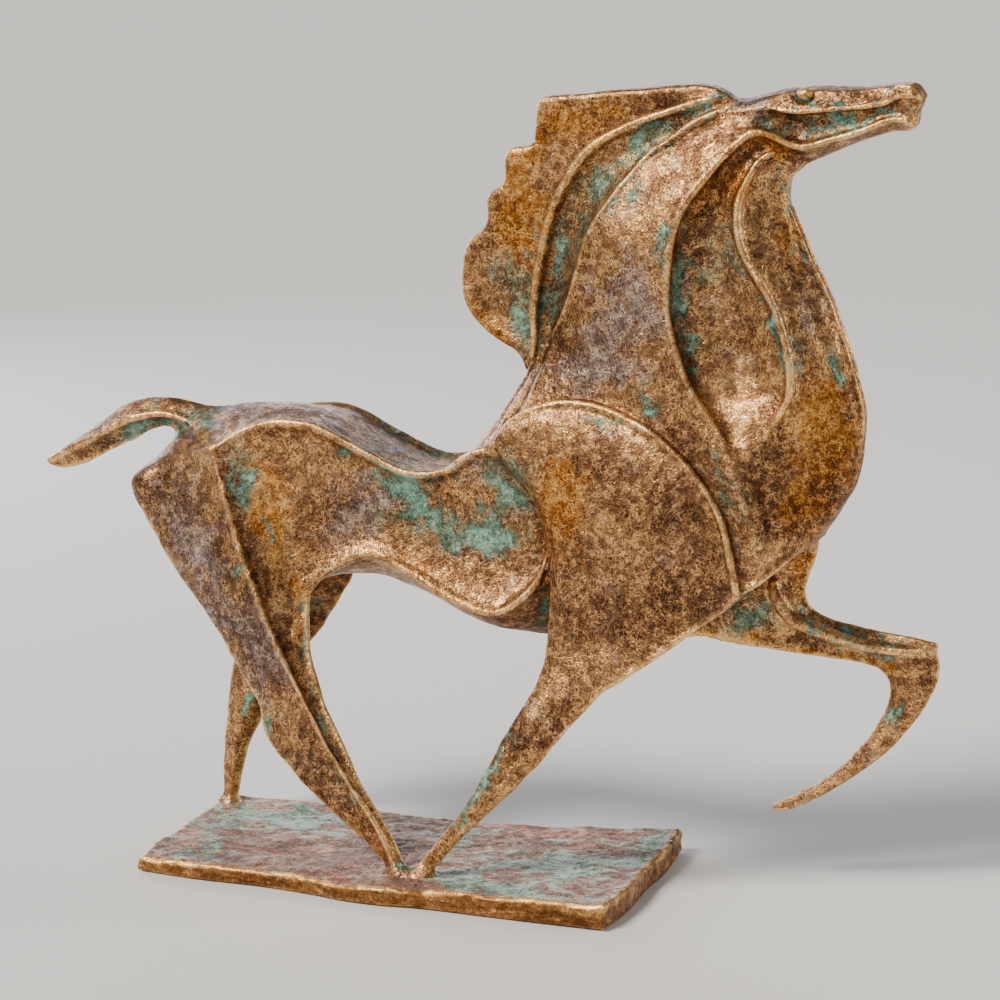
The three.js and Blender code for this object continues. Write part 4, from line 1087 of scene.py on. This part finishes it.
class Shader:
    """Builds a material's nodes, one call a node, and joins them by value."""

    def __init__(self, name):
        """A new material without nodes."""
        self.material = bpy.data.materials.new(name)
        self.material.use_nodes = True
        self.tree = self.material.node_tree
        self.tree.nodes.clear()

    def node(self, kind, feeds=(), **settings):
        """A node of a kind with its settings. Its sockets, by name or number, are joined
        to other nodes' outputs or set to values."""
        node = self.tree.nodes.new(kind)
        for key, value in settings.items():
            setattr(node, key, value)
        for key, value in dict(feeds).items():
            if isinstance(value, bpy.types.NodeSocket):
                self.tree.links.new(value, node.inputs[key])
            else:
                node.inputs[key].default_value = value
        return node

    def math(self, operation, *values):
        """The result of an operation on one, two or three values."""
        return self.node("ShaderNodeMath", enumerate(values), operation=operation).outputs[0]

    def plus(self, base, value, weight):
        """A base plus a value times its weight."""
        return self.math("MULTIPLY_ADD", value, weight, base)

    def times(self, a, b):
        """One value times another."""
        return self.math("MULTIPLY", a, b)

    def sum(self, base, *noises):
        """A value plus noises, each less its middle of a half and times its weight."""
        for noise, weight in noises:
            base = self.plus(base, self.math("SUBTRACT", noise, 0.5), weight)
        return base

    def ramp(self, value, low, high, out_low=0.0, out_high=1.0):
        """A smooth step from out_low to out_high, while a value goes from low to high."""
        feeds = enumerate((value, low, high, out_low, out_high))
        node = self.node("ShaderNodeMapRange", feeds, interpolation_type="SMOOTHSTEP")
        return node.outputs[0]

    def tones(self, value, *stops):
        """A value turned into a colour by (place, colour) stops from dark to light."""
        node = self.node("ShaderNodeValToRGB", {0: value})
        elements = node.color_ramp.elements
        for element, (place, colour) in ((elements[0], stops[0]), (elements[1], stops[-1])):
            element.position = place
            element.color = tuple(colour)
        for place, colour in stops[1:-1]:
            elements.new(place).color = tuple(colour)
        return node.outputs[0]

    def mix(self, factor, a, b):
        """Two colours mixed: all of a at factor 0, all of b at 1."""
        feeds = {0: factor, 6: a, 7: b}
        return self.node("ShaderNodeMix", feeds, data_type="RGBA", clamp_factor=True).outputs[2]

    def over(self, colour, share, tone, *stops):
        """A colour with the tones of another laid over it by a share."""
        return self.mix(share, colour, self.tones(tone, *stops))

    def attribute(self, name):
        """The value that the mesh stores under a name."""
        return self.node("ShaderNodeAttribute", attribute_name=name).outputs["Fac"]

    def place(self, stretch=(1, 1, 1), turn=(0, 0, 0)):
        """Object coordinates for a pattern that is stretched and then turned."""
        spot = self.node("ShaderNodeTexCoord").outputs["Object"]
        feeds = {"Vector": spot, "Scale": stretch, "Rotation": turn}
        return self.node("ShaderNodeMapping", feeds, vector_type="TEXTURE").outputs[0]

    def noise(self, vector, scale, detail=3.0, rough=0.5, warp=0.0):
        """Cloudy noise round a half, with scale clouds to the metre, detail octaves that
        weaken by rough, and its places shifted by warp."""
        feeds = {"Vector": vector, "Scale": scale, "Detail": detail, "Roughness": rough,
                 "Distortion": warp}
        return self.node("ShaderNodeTexNoise", feeds).outputs["Fac"]

    def strokes(self, size):
        """Short tooled strokes that lie every way: the lightest of three stretched
        noises, each turned by a third of half a turn from the one before."""
        layers = []
        for turn in STROKE_TURNS:
            place = self.place((STROKE_LENGTH, 1, 1), turn)
            layers.append(self.noise(place, 1 / size, 1.0, 0.5, 0.6))
        both = self.math("MAXIMUM", layers[0], layers[1])
        return self.math("MAXIMUM", both, layers[2])

    def fibres(self, size):
        """Thin curly strokes that lie every way: the lines along which two wide noises
        pass their middle value, broken up by a third."""
        lines = []
        for turn, width in FIBRE_LAYERS:
            place = self.place(turn=(turn, 2 * turn, 0))
            wave = self.noise(place, 1 / (size * width), 1.0, 0.5, 1.2)
            off = self.math("ABSOLUTE", self.math("SUBTRACT", wave, 0.5))
            lines.append(self.ramp(off, 0.0, FIBRE_EDGE, 1.0, 0.0))
        gaps = self.noise(self.place(), 1 / (size * FIBRE_GAP_WIDTH), 1.0, 0.5)
        gaps = self.ramp(gaps, *FIBRE_GAPS, 0.1, 1.0)
        return self.times(self.math("MAXIMUM", lines[0], lines[1]), gaps)

    def bumps(self, *layers):
        """A normal tilted by one layer of relief after another. Each is a height, what a
        height of one comes to in metres, and its strength."""
        normal = None
        for height, distance, strength in layers:
            feeds = {"Height": height, "Distance": distance, "Strength": strength}
            if normal is not None:
                feeds["Normal"] = normal
            normal = self.node("ShaderNodeBump", feeds).outputs[0]
        return normal

    def finish(self, colour, metal, rough, normal):
        """Joins colour, share of metal, roughness and normal to the material's output."""
        shader = self.node("ShaderNodeBsdfPrincipled", {
            "Base Color": colour, "Metallic": metal, "Roughness": rough, "Normal": normal})
        self.node("ShaderNodeOutputMaterial", {"Surface": shader.outputs[0]})
        return self.material


def horse_bronze(look):
    """Bronze under a broken patina, with painted shade, painted highlights and painted sheen.
    One tone, from dark hollows to worn ridges, runs through the colours of the bare bronze,
    the rust, the painted grey sheen and the verdigris alike, so the tooled grain shows
    through all of them. Painted highlights lighten that tone; patina and painted shade in
    the grooves, and umber patina with painted shade, darken it."""
    s = Shader("Horse bronze")
    here = s.place()
    cloud = s.noise(here, *HORSE_CLOUD)
    haze = s.noise(s.place(turn=(1.0, 2.0, 0.5)), *HORSE_HAZE)
    mottle = s.noise(here, *HORSE_MOTTLE)
    crumb = s.noise(here, *HORSE_CRUMB)
    grain = s.strokes(look.grain)
    fibre = s.fibres(look.grain)
    wear = s.times(s.attribute("worn"), s.ramp(mottle, 0.3, 0.6, 0.6, 1.0))
    tone = s.sum(0.36, (cloud, 0.8), (mottle, 0.34), (crumb, 0.28), (grain, 1.75), (fibre, 0.42))
    tone = s.plus(tone, wear, 0.52)
    # Painted highlights lighten the tone, and grooves, darkened by patina and painted shade, and
    # umber patina with painted shade darken it.
    for name, weight in (("painted_highlight", 0.22), ("groove_patina_and_shade", -0.2), ("umber_and_shade", -0.16)):
        tone = s.plus(tone, s.attribute(name), weight)
    colour = s.tones(tone, (0.0, look.deep), (0.28, look.brown), (0.52, look.tan),
                     (0.78, look.gold), (1.0, look.pale))
    ochre = s.ramp(haze, 0.36, 0.48, 0.5, 0.0)
    colour = s.over(
        colour, ochre, tone, (0.05, look.dark), (0.4, look.ochre), (0.85, look.gold))
    # Painted sheen: grey to silver tones laid over the colour where the sheen ovals lie.
    sheen = s.ramp(s.sum(s.attribute("sheen"), (haze, 2.4), (mottle, 0.8)), 0.1, 0.9, 0.0, 0.85)
    colour = s.over(
        colour, sheen, tone, (0.05, look.slate), (0.42, look.grey), (0.9, look.silver))
    rust = s.sum(s.attribute("rust"), (mottle, 1.3), (crumb, 0.7), (haze, 1.0))
    rust = s.ramp(rust, 0.25, 0.8, 0.0, 0.92)
    colour = s.over(
        colour, rust, tone, (0.08, look.ember), (0.38, look.orange), (0.8, look.amber))
    # Grooves turn towards the seam's burnt brown: patina, and painted shade in creases and hollows.
    groove_patina_and_shade = s.ramp(s.sum(s.attribute("groove_patina_and_shade"), (mottle, 0.8)), 0.2, 0.95, 0.0, 0.7)
    colour = s.mix(groove_patina_and_shade, colour, tuple(look.seam))
    verdigris = s.attribute("verdigris")
    kept = s.ramp(wear, 0.15, 0.6, 1.0, 0.08)
    thin = s.sum(verdigris, (mottle, 1.2), (crumb, 0.6), (cloud, 0.5))
    thin = s.times(s.ramp(thin, 0.15, 0.8, 0.0, 0.8), kept)
    colour = s.over(
        colour, thin, tone, (0.1, look.green_dark), (0.4, look.green_deep), (0.85, look.green))
    crust = s.ramp(s.sum(verdigris, (mottle, 1.5), (crumb, 0.9), (grain, -1.1)), 0.62, 0.86)
    crust = s.times(crust, s.times(kept, s.ramp(fibre, 0.25, 0.9, 1.0, 0.45)))
    colour = s.over(
        colour, crust, tone, (0.18, look.green_deep), (0.42, look.green),
        (0.76, look.green_pale))
    metal = s.math("MAXIMUM", s.plus(s.plus(0.92, crust, -0.85), thin, -0.2), 0.0)
    rough = s.plus(s.ramp(tone, 0.15, 0.85, 0.5, 0.3), crust, 0.35)
    tooled = s.plus(grain, fibre, 0.25)
    normal = s.bumps((mottle, 0.0012, 0.3), (crumb, 0.0006, 0.4), (tooled, 0.0003, 0.8))
    return s.finish(colour, metal, rough, normal)


def slab_bronze(look):
    """The slab: copper-red, brown and mint in ragged streaks on top, dark red veins
    between them, and a worn golden rim."""
    s = Shader("Slab bronze")
    here = s.place()
    cloud = s.noise(s.place((1.4, 1, 1)), *SLAB_CLOUD)
    streak = s.noise(s.place((1.7, 1, 1)), *SLAB_STREAK)
    vein = s.noise(s.place((2, 1, 1)), *SLAB_VEIN)
    crumb = s.noise(here, *SLAB_CRUMB)
    grain = s.strokes(look.grain)
    fibre = s.fibres(look.grain)
    wear = s.attribute("worn")
    tone = s.sum(0.46, (cloud, 0.6), (streak, 1.5), (crumb, 1.1), (grain, 1.0), (fibre, 0.25))
    tone = s.plus(tone, wear, 0.45)
    colour = s.tones(tone, (0.05, look.slate), (0.4, look.clay), (0.68, look.stone),
                     (1.0, look.silver))
    copper = s.ramp(s.sum(vein, (crumb, 0.4), (cloud, -0.4)), 0.52, 0.62, 0.0, 0.85)
    colour = s.over(
        colour, copper, tone, (0.1, look.oxblood), (0.45, look.copper), (0.85, look.rose))
    green = s.sum(s.attribute("verdigris"), (cloud, 1.6), (streak, 1.8), (crumb, 0.7))
    green = s.ramp(green, 0.3, 0.6, 0.0, 0.85)
    colour = s.over(
        colour, green, tone, (0.1, look.green_dark), (0.4, look.green_deep), (0.7, look.mint))
    line = s.math("ABSOLUTE", s.math("SUBTRACT", streak, 0.48))
    line = s.times(s.ramp(line, 0.0, 0.022, 0.85, 0.0), s.ramp(vein, 0.44, 0.56))
    colour = s.mix(line, colour, tuple(look.oxblood))
    side = s.noise(s.place((4.5, 1, 1)), *SLAB_SIDE)
    side = s.sum(0.28, (side, 1.5), (crumb, 0.6), (grain, 0.8), (fibre, 0.2))
    side = s.plus(side, wear, 0.42)
    rim = s.ramp(s.sum(s.attribute("rim"), (crumb, 0.8), (streak, 0.8)), 0.35, 0.65)
    colour = s.over(colour, rim, side, (0.1, look.seam), (0.38, look.bark), (0.62, look.straw),
                    (0.95, look.pale))
    metal = s.math("MAXIMUM", s.plus(s.plus(0.35, rim, 0.5), green, -0.3), 0.0)
    rough = s.plus(s.ramp(tone, 0.2, 0.9, 0.68, 0.5), rim, -0.14)
    tooled = s.plus(grain, fibre, 0.25)
    normal = s.bumps((streak, 0.0012, 0.4), (crumb, 0.0008, 0.4), (tooled, 0.0003, 0.7))
    return s.finish(colour, metal, rough, normal)


def colour_property(name, description, default):
    """A colour of the patina, opaque, with its red, green and blue as the default."""
    return bpy.props.FloatVectorProperty(
        name=name, description=description, subtype="COLOR", size=4, min=0, max=1,
        default=(*default, 1.0))


class HorseLook(bpy.types.PropertyGroup):
    """The finish of the bronze, in linear colours, and the size of its tooled grain."""

    deep: colour_property("Deep brown", "Bronze in the darkest hollows", (0.035, 0.014, 0.006))
    brown: colour_property("Brown", "Main patina", (0.165, 0.072, 0.032))
    tan: colour_property("Tan", "Rubbed patina", (0.39, 0.20, 0.088))
    gold: colour_property("Gold", "Bare metal on ridges", (0.84, 0.43, 0.14))
    pale: colour_property("Pale gold", "Brightest wear", (1.0, 0.67, 0.31))
    dark: colour_property("Umber", "Darkest of the yellow-brown clouds", (0.06, 0.025, 0.008))
    ochre: colour_property("Ochre", "Yellow-brown clouds", (0.30, 0.155, 0.058))
    ember: colour_property("Ember", "Darkest of the orange", (0.10, 0.026, 0.005))
    orange: colour_property("Orange", "Warm patches", (0.42, 0.145, 0.022))
    amber: colour_property("Amber", "Brightest of the orange", (0.88, 0.50, 0.15))
    # Slate, grey sheen and silver are the tones of the painted sheen.
    slate: colour_property("Slate", "Darkest of the grey", (0.06, 0.036, 0.03))
    grey: colour_property("Grey sheen", "Cool purplish patches", (0.25, 0.17, 0.145))
    silver: colour_property("Silver", "Brightest of the grey", (0.66, 0.55, 0.46))
    # Seam: the burnt brown of the horse's grooves, with their patina and painted shade, and the
    # darkest of the slab's rim.
    seam: colour_property("Seam", "Burnt brown in grooves", (0.11, 0.037, 0.009))
    green_dark: colour_property("Dark verdigris", "Verdigris in shade", (0.02, 0.045, 0.03))
    green_deep: colour_property("Deep verdigris", "Thin verdigris", (0.07, 0.165, 0.115))
    green: colour_property("Verdigris", "Thick verdigris", (0.18, 0.36, 0.27))
    green_pale: colour_property("Pale verdigris", "Lightest verdigris", (0.42, 0.60, 0.47))
    mint: colour_property("Mint", "Verdigris on the slab", (0.34, 0.52, 0.42))
    clay: colour_property("Clay", "Brown ground on the slab", (0.22, 0.125, 0.09))
    stone: colour_property("Stone", "Pale ground on the slab", (0.42, 0.29, 0.22))
    oxblood: colour_property("Oxblood", "Dark red veins on the slab", (0.11, 0.028, 0.022))
    copper: colour_property("Copper", "Copper-red streaks on the slab", (0.42, 0.16, 0.10))
    rose: colour_property("Rose", "Lightest copper on the slab", (0.78, 0.42, 0.28))
    bark: colour_property("Bark", "Brown of the slab's rim", (0.28, 0.12, 0.035))
    straw: colour_property("Straw", "Gold of the slab's rim", (0.62, 0.34, 0.11))
    grain: bpy.props.FloatProperty(
        name="Grain", description="Width of a tooled stroke", default=0.00065, min=0.0003,
        max=0.005, subtype="DISTANCE", unit="LENGTH")


class HorseSizes(bpy.types.PropertyGroup):
    """How finely the casting is worked, and how high its relief stands."""

    voxel: bpy.props.FloatProperty(
        name="Voxel", description="Size of a voxel of the casting, in mm", default=0.75,
        min=0.5, max=3.0)
    triangles: bpy.props.IntProperty(
        name="Triangles", description="Most triangles on the horse", default=196000,
        min=20000, max=199000)
    relief: bpy.props.FloatProperty(
        name="Relief", description="Height of the hammered relief, in mm", default=0.2,
        min=0.0, max=1.0)
    lip: bpy.props.FloatProperty(
        name="Lips", description="Width of the raised lips, as a share of the real ones",
        default=1.0, min=0.3, max=2.0, subtype="FACTOR")


def forms(clay):
    """Adds the horse's forms to the clay, each joined to the rest by its own blend."""
    barrel = [SPINE, BACK_RIDGE, FLANK, BELLY_RIDGE, KEEL]
    clay.add(both_sides(barrel, BARREL_SWELL), BARREL_BLEND)
    for side in NEAR_AND_FAR:
        clay.cut(ellipsoid(*ELBOW_GAP, side), ELBOW_BLEND)
    clay.add(loft(NEAR_HIND, NEAR_HIND_SWELL), LIMB_BLEND)
    clay.add(loft(FAR_HIND, FAR_HIND_SWELL), LIMB_BLEND)
    clay.add(both_sides([TAIL_TOP, TAIL_RIDGE, TAIL_BELOW], TAIL_SWELL), LIMB_BLEND)
    neck = [NAPE, CREST, CHANNEL, CHANNEL_FRONT, FIELD, MAIN_RIDGE, BOWL_FOOT, CORD, CORD_FOOT,
            THROAT, THROAT_KEEL]
    clay.add(both_sides(neck, NECK_SWELL, start=NECK_START, cuts=8), NECK_BLEND)
    for side in NEAR_AND_FAR:
        clay.cut(bead(on_side(BOWL_SCOOP, side), BOWL_SCOOP_RADII), NECK_BLEND)
        clay.add(ellipsoid(*HAUNCH_CORNER, side), LIMB_BLEND)
        clay.add(ellipsoid(*BOWL_END, side), LIMB_BLEND)
    head = [HEAD_TOP, HEAD_EDGE, CHEEK, RECESS, JAW, CHIN]
    clay.add(both_sides(head, HEAD_SWELL, cuts=8), NECK_BLEND)
    for side in NEAR_AND_FAR:
        clay.cut(bead(on_side(UNDER_ARCH, side), UNDER_ARCH_RADII), HOLLOW_BLEND)
    clay.add(ellipsoid(*RUMP), RUMP_BLEND)
    add_mane(clay)
    clay.add(loft(FOREARM, FOREARM_SWELL), FOREARM_BLEND)
    clay.add(cannon(), CANNON_BLEND)
    clay.add(loft(FORELEG, FORELEG_SWELL, [PLATE_CROWN]), PLATE_BLEND)
    far_plate = [mirrored(rail) for rail in FAR_PLATE]
    clay.add(loft(far_plate, FAR_PLATE_SWELL, [PLATE_CROWN]), PLATE_BLEND)


def cannon():
    """The raised foreleg below the knee: its inner and outer edges, and on either side of
    them a line halfway between, CANNON_HALF_THICK away."""
    between = [
        [((x + u) / 2, y + side * half, (z + w) / 2)
         for (x, y, z), (u, _, w), half in zip(CANNON_INSIDE, CANNON_OUTSIDE, CANNON_HALF_THICK)]
        for side in NEAR_AND_FAR]
    rails = [CANNON_INSIDE, between[0], CANNON_OUTSIDE, between[1]]
    return loft(rails, CANNON_SWELL, end=CANNON_TIP)


def lips(clay, width):
    """Adds the raised lips along the ridges, their radii times width, and cuts the tips of
    the mane's channels and the two flutes of the near legs."""
    for rail, radii, blend, depth in PAIRED_LIPS:
        sunk = [(x, y + depth, z) for x, y, z in rail]
        for line in (sunk, mirrored(sunk)):
            clay.add(bead(line, [width * r for r in radii]), blend)
    for rail, radii, blend in SINGLE_LIPS:
        clay.add(bead(rail, [width * r for r in radii]), blend)
    for side in NEAR_AND_FAR:
        clay.cut(bead(on_side(CHANNEL_TIP, side), CHANNEL_TIP_RADII), TIP_BLEND)
    clay.cut(bead(HIND_FLUTE, HIND_FLUTE_RADII), HOLLOW_BLEND)
    clay.cut(bead(FORE_FLUTE, FORE_FLUTE_RADII), HOLLOW_BLEND)


def model_horse(sizes):
    """Models the horse and returns the clay: forms, lips, eyes, welds, then relief."""
    voxel = sizes.voxel
    clay = Clay(np.array(HORSE_LOW) / MM, np.array(HORSE_HIGH) / MM, voxel, CLAY_REACH)
    forms(clay)
    lips(clay, sizes.lip)
    add_eyes(clay)
    for centre, radii in WELDS:
        clay.add(ellipsoid(centre, radii), WELD_BLEND)
    rng = np.random.default_rng(RELIEF_SEED)
    for cell, share in RELIEF_WAVES:
        clay.distance += sizes.relief * share * stretched_noise(clay.shape, cell / voxel, rng)
    clay.soften(SOFTEN_GROWTH)
    return clay


def add_eyes(clay):
    """A small ball of an eye in a socket, on both sides."""
    for side in NEAR_AND_FAR:
        clay.cut(ellipsoid(*EYE_SOCKET, side), SOCKET_BLEND)
        clay.add(ellipsoid(*EYE_BALL, side), EYE_BLEND)


class BRONZE_OT_horse(bpy.types.Operator):
    """Model the horse as one casting and give it its patina"""

    bl_idname = "bronze.horse"
    bl_label = "Horse"

    def execute(self, context):
        """Worn where the surface stands proud, and darkened by patina and painted shade where it
        lies deep, with the green of its hollows laid over the verdigris patches. The patches
        also lay on painted sheen, painted shade and painted highlights."""
        sizes = context.scene.horse_sizes
        clay = model_horse(sizes)
        points, faces = clay.surface()
        piece = mesh_object("bronze_horse", points, faces)
        thinned(piece, sizes.triangles)
        mesh = piece.data
        place = coordinates(mesh) / MM
        fine = standing_proud(clay, place, FINE_RADIUS)
        broad = standing_proud(clay, place, BROAD_RADIUS)
        set_attribute(mesh, "worn", stepped((fine, broad), WORN))
        set_attribute(mesh, "groove_patina_and_shade", stepped((-fine, -broad), GROOVE_PATINA_AND_SHADE))
        rng = np.random.default_rng(PATINA_SEED)
        # Patches of verdigris, rust, painted sheen, umber patina with painted shade, and painted
        # highlights.
        for name, (patches, far_patches) in HORSE_PATINA.items():
            cover = patched_sides(place, patches, far_patches, rng)
            if name == "verdigris":
                cover = np.maximum(cover, stepped((-broad,), (GREEN_HOLLOW,)))
            set_attribute(mesh, name, cover)
        mesh.materials.append(horse_bronze(context.scene.horse_look))
        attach(piece, "root")
        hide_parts("horse")
        return {"FINISHED"}


def slab_top(columns=240, rows=136):
    """The slab seen from above, as a grid filled in from its four sides: between facing
    sides each point moves in a straight line, less the same mix of the corners."""
    front, right, back, left = (np.array(side, float) for side in SLAB_SIDES)
    u, v = np.linspace(0, 1, columns), np.linspace(0, 1, rows)

    def side(points, t):
        """The curve through a side's points, seen from above."""
        place, _ = rail_curve(np.column_stack([points, np.zeros(len(points))]), t)
        return place[:, :2]

    low, high = side(front, u)[:, None], side(back[::-1], u)[:, None]
    near, far = side(left[::-1], v)[None], side(right, v)[None]
    u, v = u[:, None, None], v[None, :, None]
    flat = (1 - v) * low + v * high + (1 - u) * near + u * far
    flat -= (1 - u) * ((1 - v) * front[0] + v * back[-1])
    return flat - u * ((1 - v) * front[-1] + v * back[0])


def slab_surface():
    """The slab's points, faces, and how much of rim each point is. The top's grid ends
    RIM_ROUND inside the outline; rings on a rounded profile carry its border down the
    side and under, and a fan closes the flat underside."""
    flat = slab_top()
    columns, rows = flat.shape[:2]
    number = np.arange(columns * rows).reshape(columns, rows)
    border = np.concatenate([
        number[:-1, 0], number[-1, :-1], number[:0:-1, -1], number[0, :0:-1]])
    outline = flat.reshape(-1, 2)[border]
    way = np.roll(outline, -2, 0) - np.roll(outline, 2, 0)
    way /= np.linalg.norm(way, axis=1, keepdims=True)
    inward = np.stack([-way[:, 1], way[:, 0]], -1)
    shrink = 1 - RIM_ROUND / SLAB_HALF
    flat = (flat * shrink).reshape(-1, 2)
    flat[border] = outline + inward * RIM_ROUND

    def top_at(x):
        """The height of the flat top, which climbs by the tangent of RISE."""
        return SLAB_THICK + x * math.tan(RISE)

    def rim_at(x):
        """The height of the rim: the top's less a sag in the form of a bell curve."""
        return top_at(x) - RIM_SAG * np.exp(-(((x - RIM_SAG_AT) / RIM_SAG_SPREAD) ** 2))

    u, v = np.meshgrid(np.linspace(0, 1, columns), np.linspace(0, 1, rows), indexing="ij")
    length, width = 2 * SLAB_HALF
    margin = np.minimum(np.minimum(u, 1 - u) * length, np.minimum(v, 1 - v) * width).ravel()
    level = smoothstep(0.0, SAG_REACH, margin)
    height = rim_at(flat[:, 0]) * (1 - level) + top_at(flat[:, 0]) * level
    height -= SLAB_DISH * smoothstep(*DISH_EDGE, margin)
    layers = [np.column_stack([flat, height])]
    shares = [RIM_SPILL * (1 - smoothstep(0.0, RIM_SPILL_REACH, margin))]
    rounded = np.linspace(0, math.pi / 2, RIM_STEPS + 1)[1:]
    profile = [(1 - math.sin(a), 1 - math.cos(a), 0.0) for a in rounded]
    profile += [(0.0, 1.0, part) for part in SIDE_PARTS]
    rounded = np.linspace(0, math.pi / 2, FOOT_STEPS + 1)[1:]
    profile += [(1 - math.cos(a), 1 - math.sin(a), 1.0) for a in rounded]
    for draw, drop, part in profile:
        place = outline + inward * RIM_ROUND * draw
        high = rim_at(place[:, 0]) - RIM_ROUND * drop
        low = RIM_ROUND * drop
        layers.append(np.column_stack([place, high * (1 - part) + low * part]))
        shares.append(np.ones(len(place)))
    layers.append(np.zeros((1, 3)))
    shares.append(np.ones(1))
    a, b, c, d = number[:-1, :-1], number[1:, :-1], number[1:, 1:], number[:-1, 1:]
    faces = [np.stack([x.ravel() for x in corner], -1) for corner in ((a, b, c), (a, c, d))]
    ring = border
    for k in range(len(profile)):
        after = columns * rows + k * len(border) + np.arange(len(border))
        faces.append(np.stack([ring, after, np.roll(after, -1)], -1))
        faces.append(np.stack([ring, np.roll(after, -1), np.roll(ring, -1)], -1))
        ring = after
    middle = np.full(len(ring), columns * rows + len(profile) * len(border))
    faces.append(np.stack([ring, middle, np.roll(ring, -1)], -1))
    return np.vstack(layers), np.vstack(faces), np.concatenate(shares)


class BRONZE_OT_slab(bpy.types.Operator):
    """Model the hand-made slab with its wavy sides, hammered top and worn rim"""

    bl_idname = "bronze.slab"
    bl_label = "Slab"

    def execute(self, context):
        """Waves lift the top and dents press the rim in, both fading out towards the
        foot. The rim's upper edge and the foot are worn."""
        points, faces, rim = slab_surface()
        rng = np.random.default_rng(SLAB_SEED)
        above = smoothstep(*WAVE_FOOT, points[:, 2])
        for length, height in SLAB_WAVES:
            points[:, 2] += height * above * ripple(points, length, rng)
        dents = sum(depth * ripple(points, length, rng) for length, depth in RIM_DENTS)
        points[:, :2] -= points[:, :2] / SLAB_HALF * (np.abs(dents) * rim * above)[:, None]
        piece = mesh_object("bronze_slab", points, faces)
        mesh = piece.data
        mesh.shade_smooth()
        place = coordinates(mesh) / MM
        drop = SLAB_THICK + place[:, 0] * math.tan(RISE) - place[:, 2]
        edge = smoothstep(*WORN_RIM, rim) * (1 - smoothstep(*WORN_DROP, drop))
        foot = (1 - smoothstep(*WORN_FOOT, place[:, 2])) * rim
        set_attribute(mesh, "rim", rim)
        set_attribute(mesh, "worn", EDGE_WEAR * edge + FOOT_WEAR * foot)
        set_attribute(mesh, "verdigris", patched(place, SLAB_VERDIGRIS, rng))
        mesh.materials.append(slab_bronze(context.scene.horse_look))
        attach(piece, "root")
        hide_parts("plinth")
        return {"FINISHED"}


def aimed_light(name, kind, place, power, colour, spread):
    """A light at a place, turned to shine at LIT_POINT and hidden from the camera."""
    light = bpy.data.lights.new(name, kind)
    light.energy = power
    light.color = colour
    if kind == "SUN":
        light.angle = math.radians(spread)
    else:
        light.size = spread
    back = np.asarray(place, float) - np.asarray(LIT_POINT, float)
    back /= np.linalg.norm(back)
    side = np.cross((0, 0, 1), back)
    side /= np.linalg.norm(side)
    lamp = linked(name, light)
    lamp.matrix_world = standing(place, side, np.cross(back, side), back)
    lamp.visible_camera = False


class BRONZE_OT_stage(bpy.types.Operator):
    """Set up the pale floor, the soft lights and the camera"""

    bl_idname = "bronze.stage"
    bl_label = "Stage"

    def execute(self, context):
        """The camera looks along the picture's axes, and a square floor lies just below
        the slab."""
        place, right, up, forward = camera_axes()
        camera = bpy.data.cameras.new("Camera")
        camera.sensor_width = SENSOR
        camera.lens = SENSOR * FOCAL / PICTURE
        camera.clip_end = 100
        view = linked("Camera", camera)
        view.matrix_world = standing(place * MM, right, up, -forward)
        context.scene.camera = view
        corners = [(x * FLOOR_REACH, y * FLOOR_REACH, FLOOR_LEVEL)
                   for x, y in ((-1, -1), (1, -1), (1, 1), (-1, 1))]
        mesh = bpy.data.meshes.new("floor")
        mesh.from_pydata(corners, [], [(0, 1, 2, 3)])
        floor = linked("floor", mesh)
        paint = Shader("Pale floor")
        waves = paint.noise(paint.place(), FLOOR_WAVES, 2.0)
        uneven = paint.bumps((waves, FLOOR_UNEVEN, 0.1))
        mesh.materials.append(paint.finish(FLOOR_PAINT, 0.0, FLOOR_ROUGH, uneven))
        world = bpy.data.worlds.new("Studio")
        world.use_nodes = True
        sky = world.node_tree.nodes["Background"]
        sky.inputs["Color"].default_value = SKY
        sky.inputs["Strength"].default_value = SKY_STRENGTH
        context.scene.world = world
        for light in LIGHTS:
            aimed_light(*light)
        return {"FINISHED"}


class BRONZE_PT_panel(bpy.types.Panel):
    """Lists the makers of the sculpture and its stage"""

    bl_label = "Bronze Horse"
    bl_idname = "BRONZE_PT_panel"
    bl_space_type = "VIEW_3D"
    bl_region_type = "UI"
    bl_category = "Bronze Horse"

    def draw(self, context):
        """A button for each maker, then the sizes and the colours."""
        for operator in (BRONZE_OT_stage, BRONZE_OT_horse, BRONZE_OT_slab):
            self.layout.operator(operator.bl_idname)
        for group in (context.scene.horse_sizes, context.scene.horse_look):
            for name in group.bl_rna.properties.keys():
                if name not in ("name", "rna_type"):
                    self.layout.prop(group, name)


CLASSES = (
    HorseLook, HorseSizes, BRONZE_OT_stage, BRONZE_OT_horse, BRONZE_OT_slab, BRONZE_PT_panel)


def register():
    """Makes the classes known, and gives the scene its looks and sizes."""
    for cls in CLASSES:
        bpy.utils.register_class(cls)
    bpy.types.Scene.horse_look = bpy.props.PointerProperty(type=HorseLook)
    bpy.types.Scene.horse_sizes = bpy.props.PointerProperty(type=HorseSizes)


def unregister():
    """Takes back what register does, in the opposite order."""
    del bpy.types.Scene.horse_sizes
    del bpy.types.Scene.horse_look
    for cls in reversed(CLASSES):
        bpy.utils.unregister_class(cls)


def main():
    """Builds the stage and both pieces."""
    register()
    bpy.ops.bronze.stage()
    bpy.ops.bronze.horse()
    bpy.ops.bronze.slab()


if __name__ == "__main__":
    main()
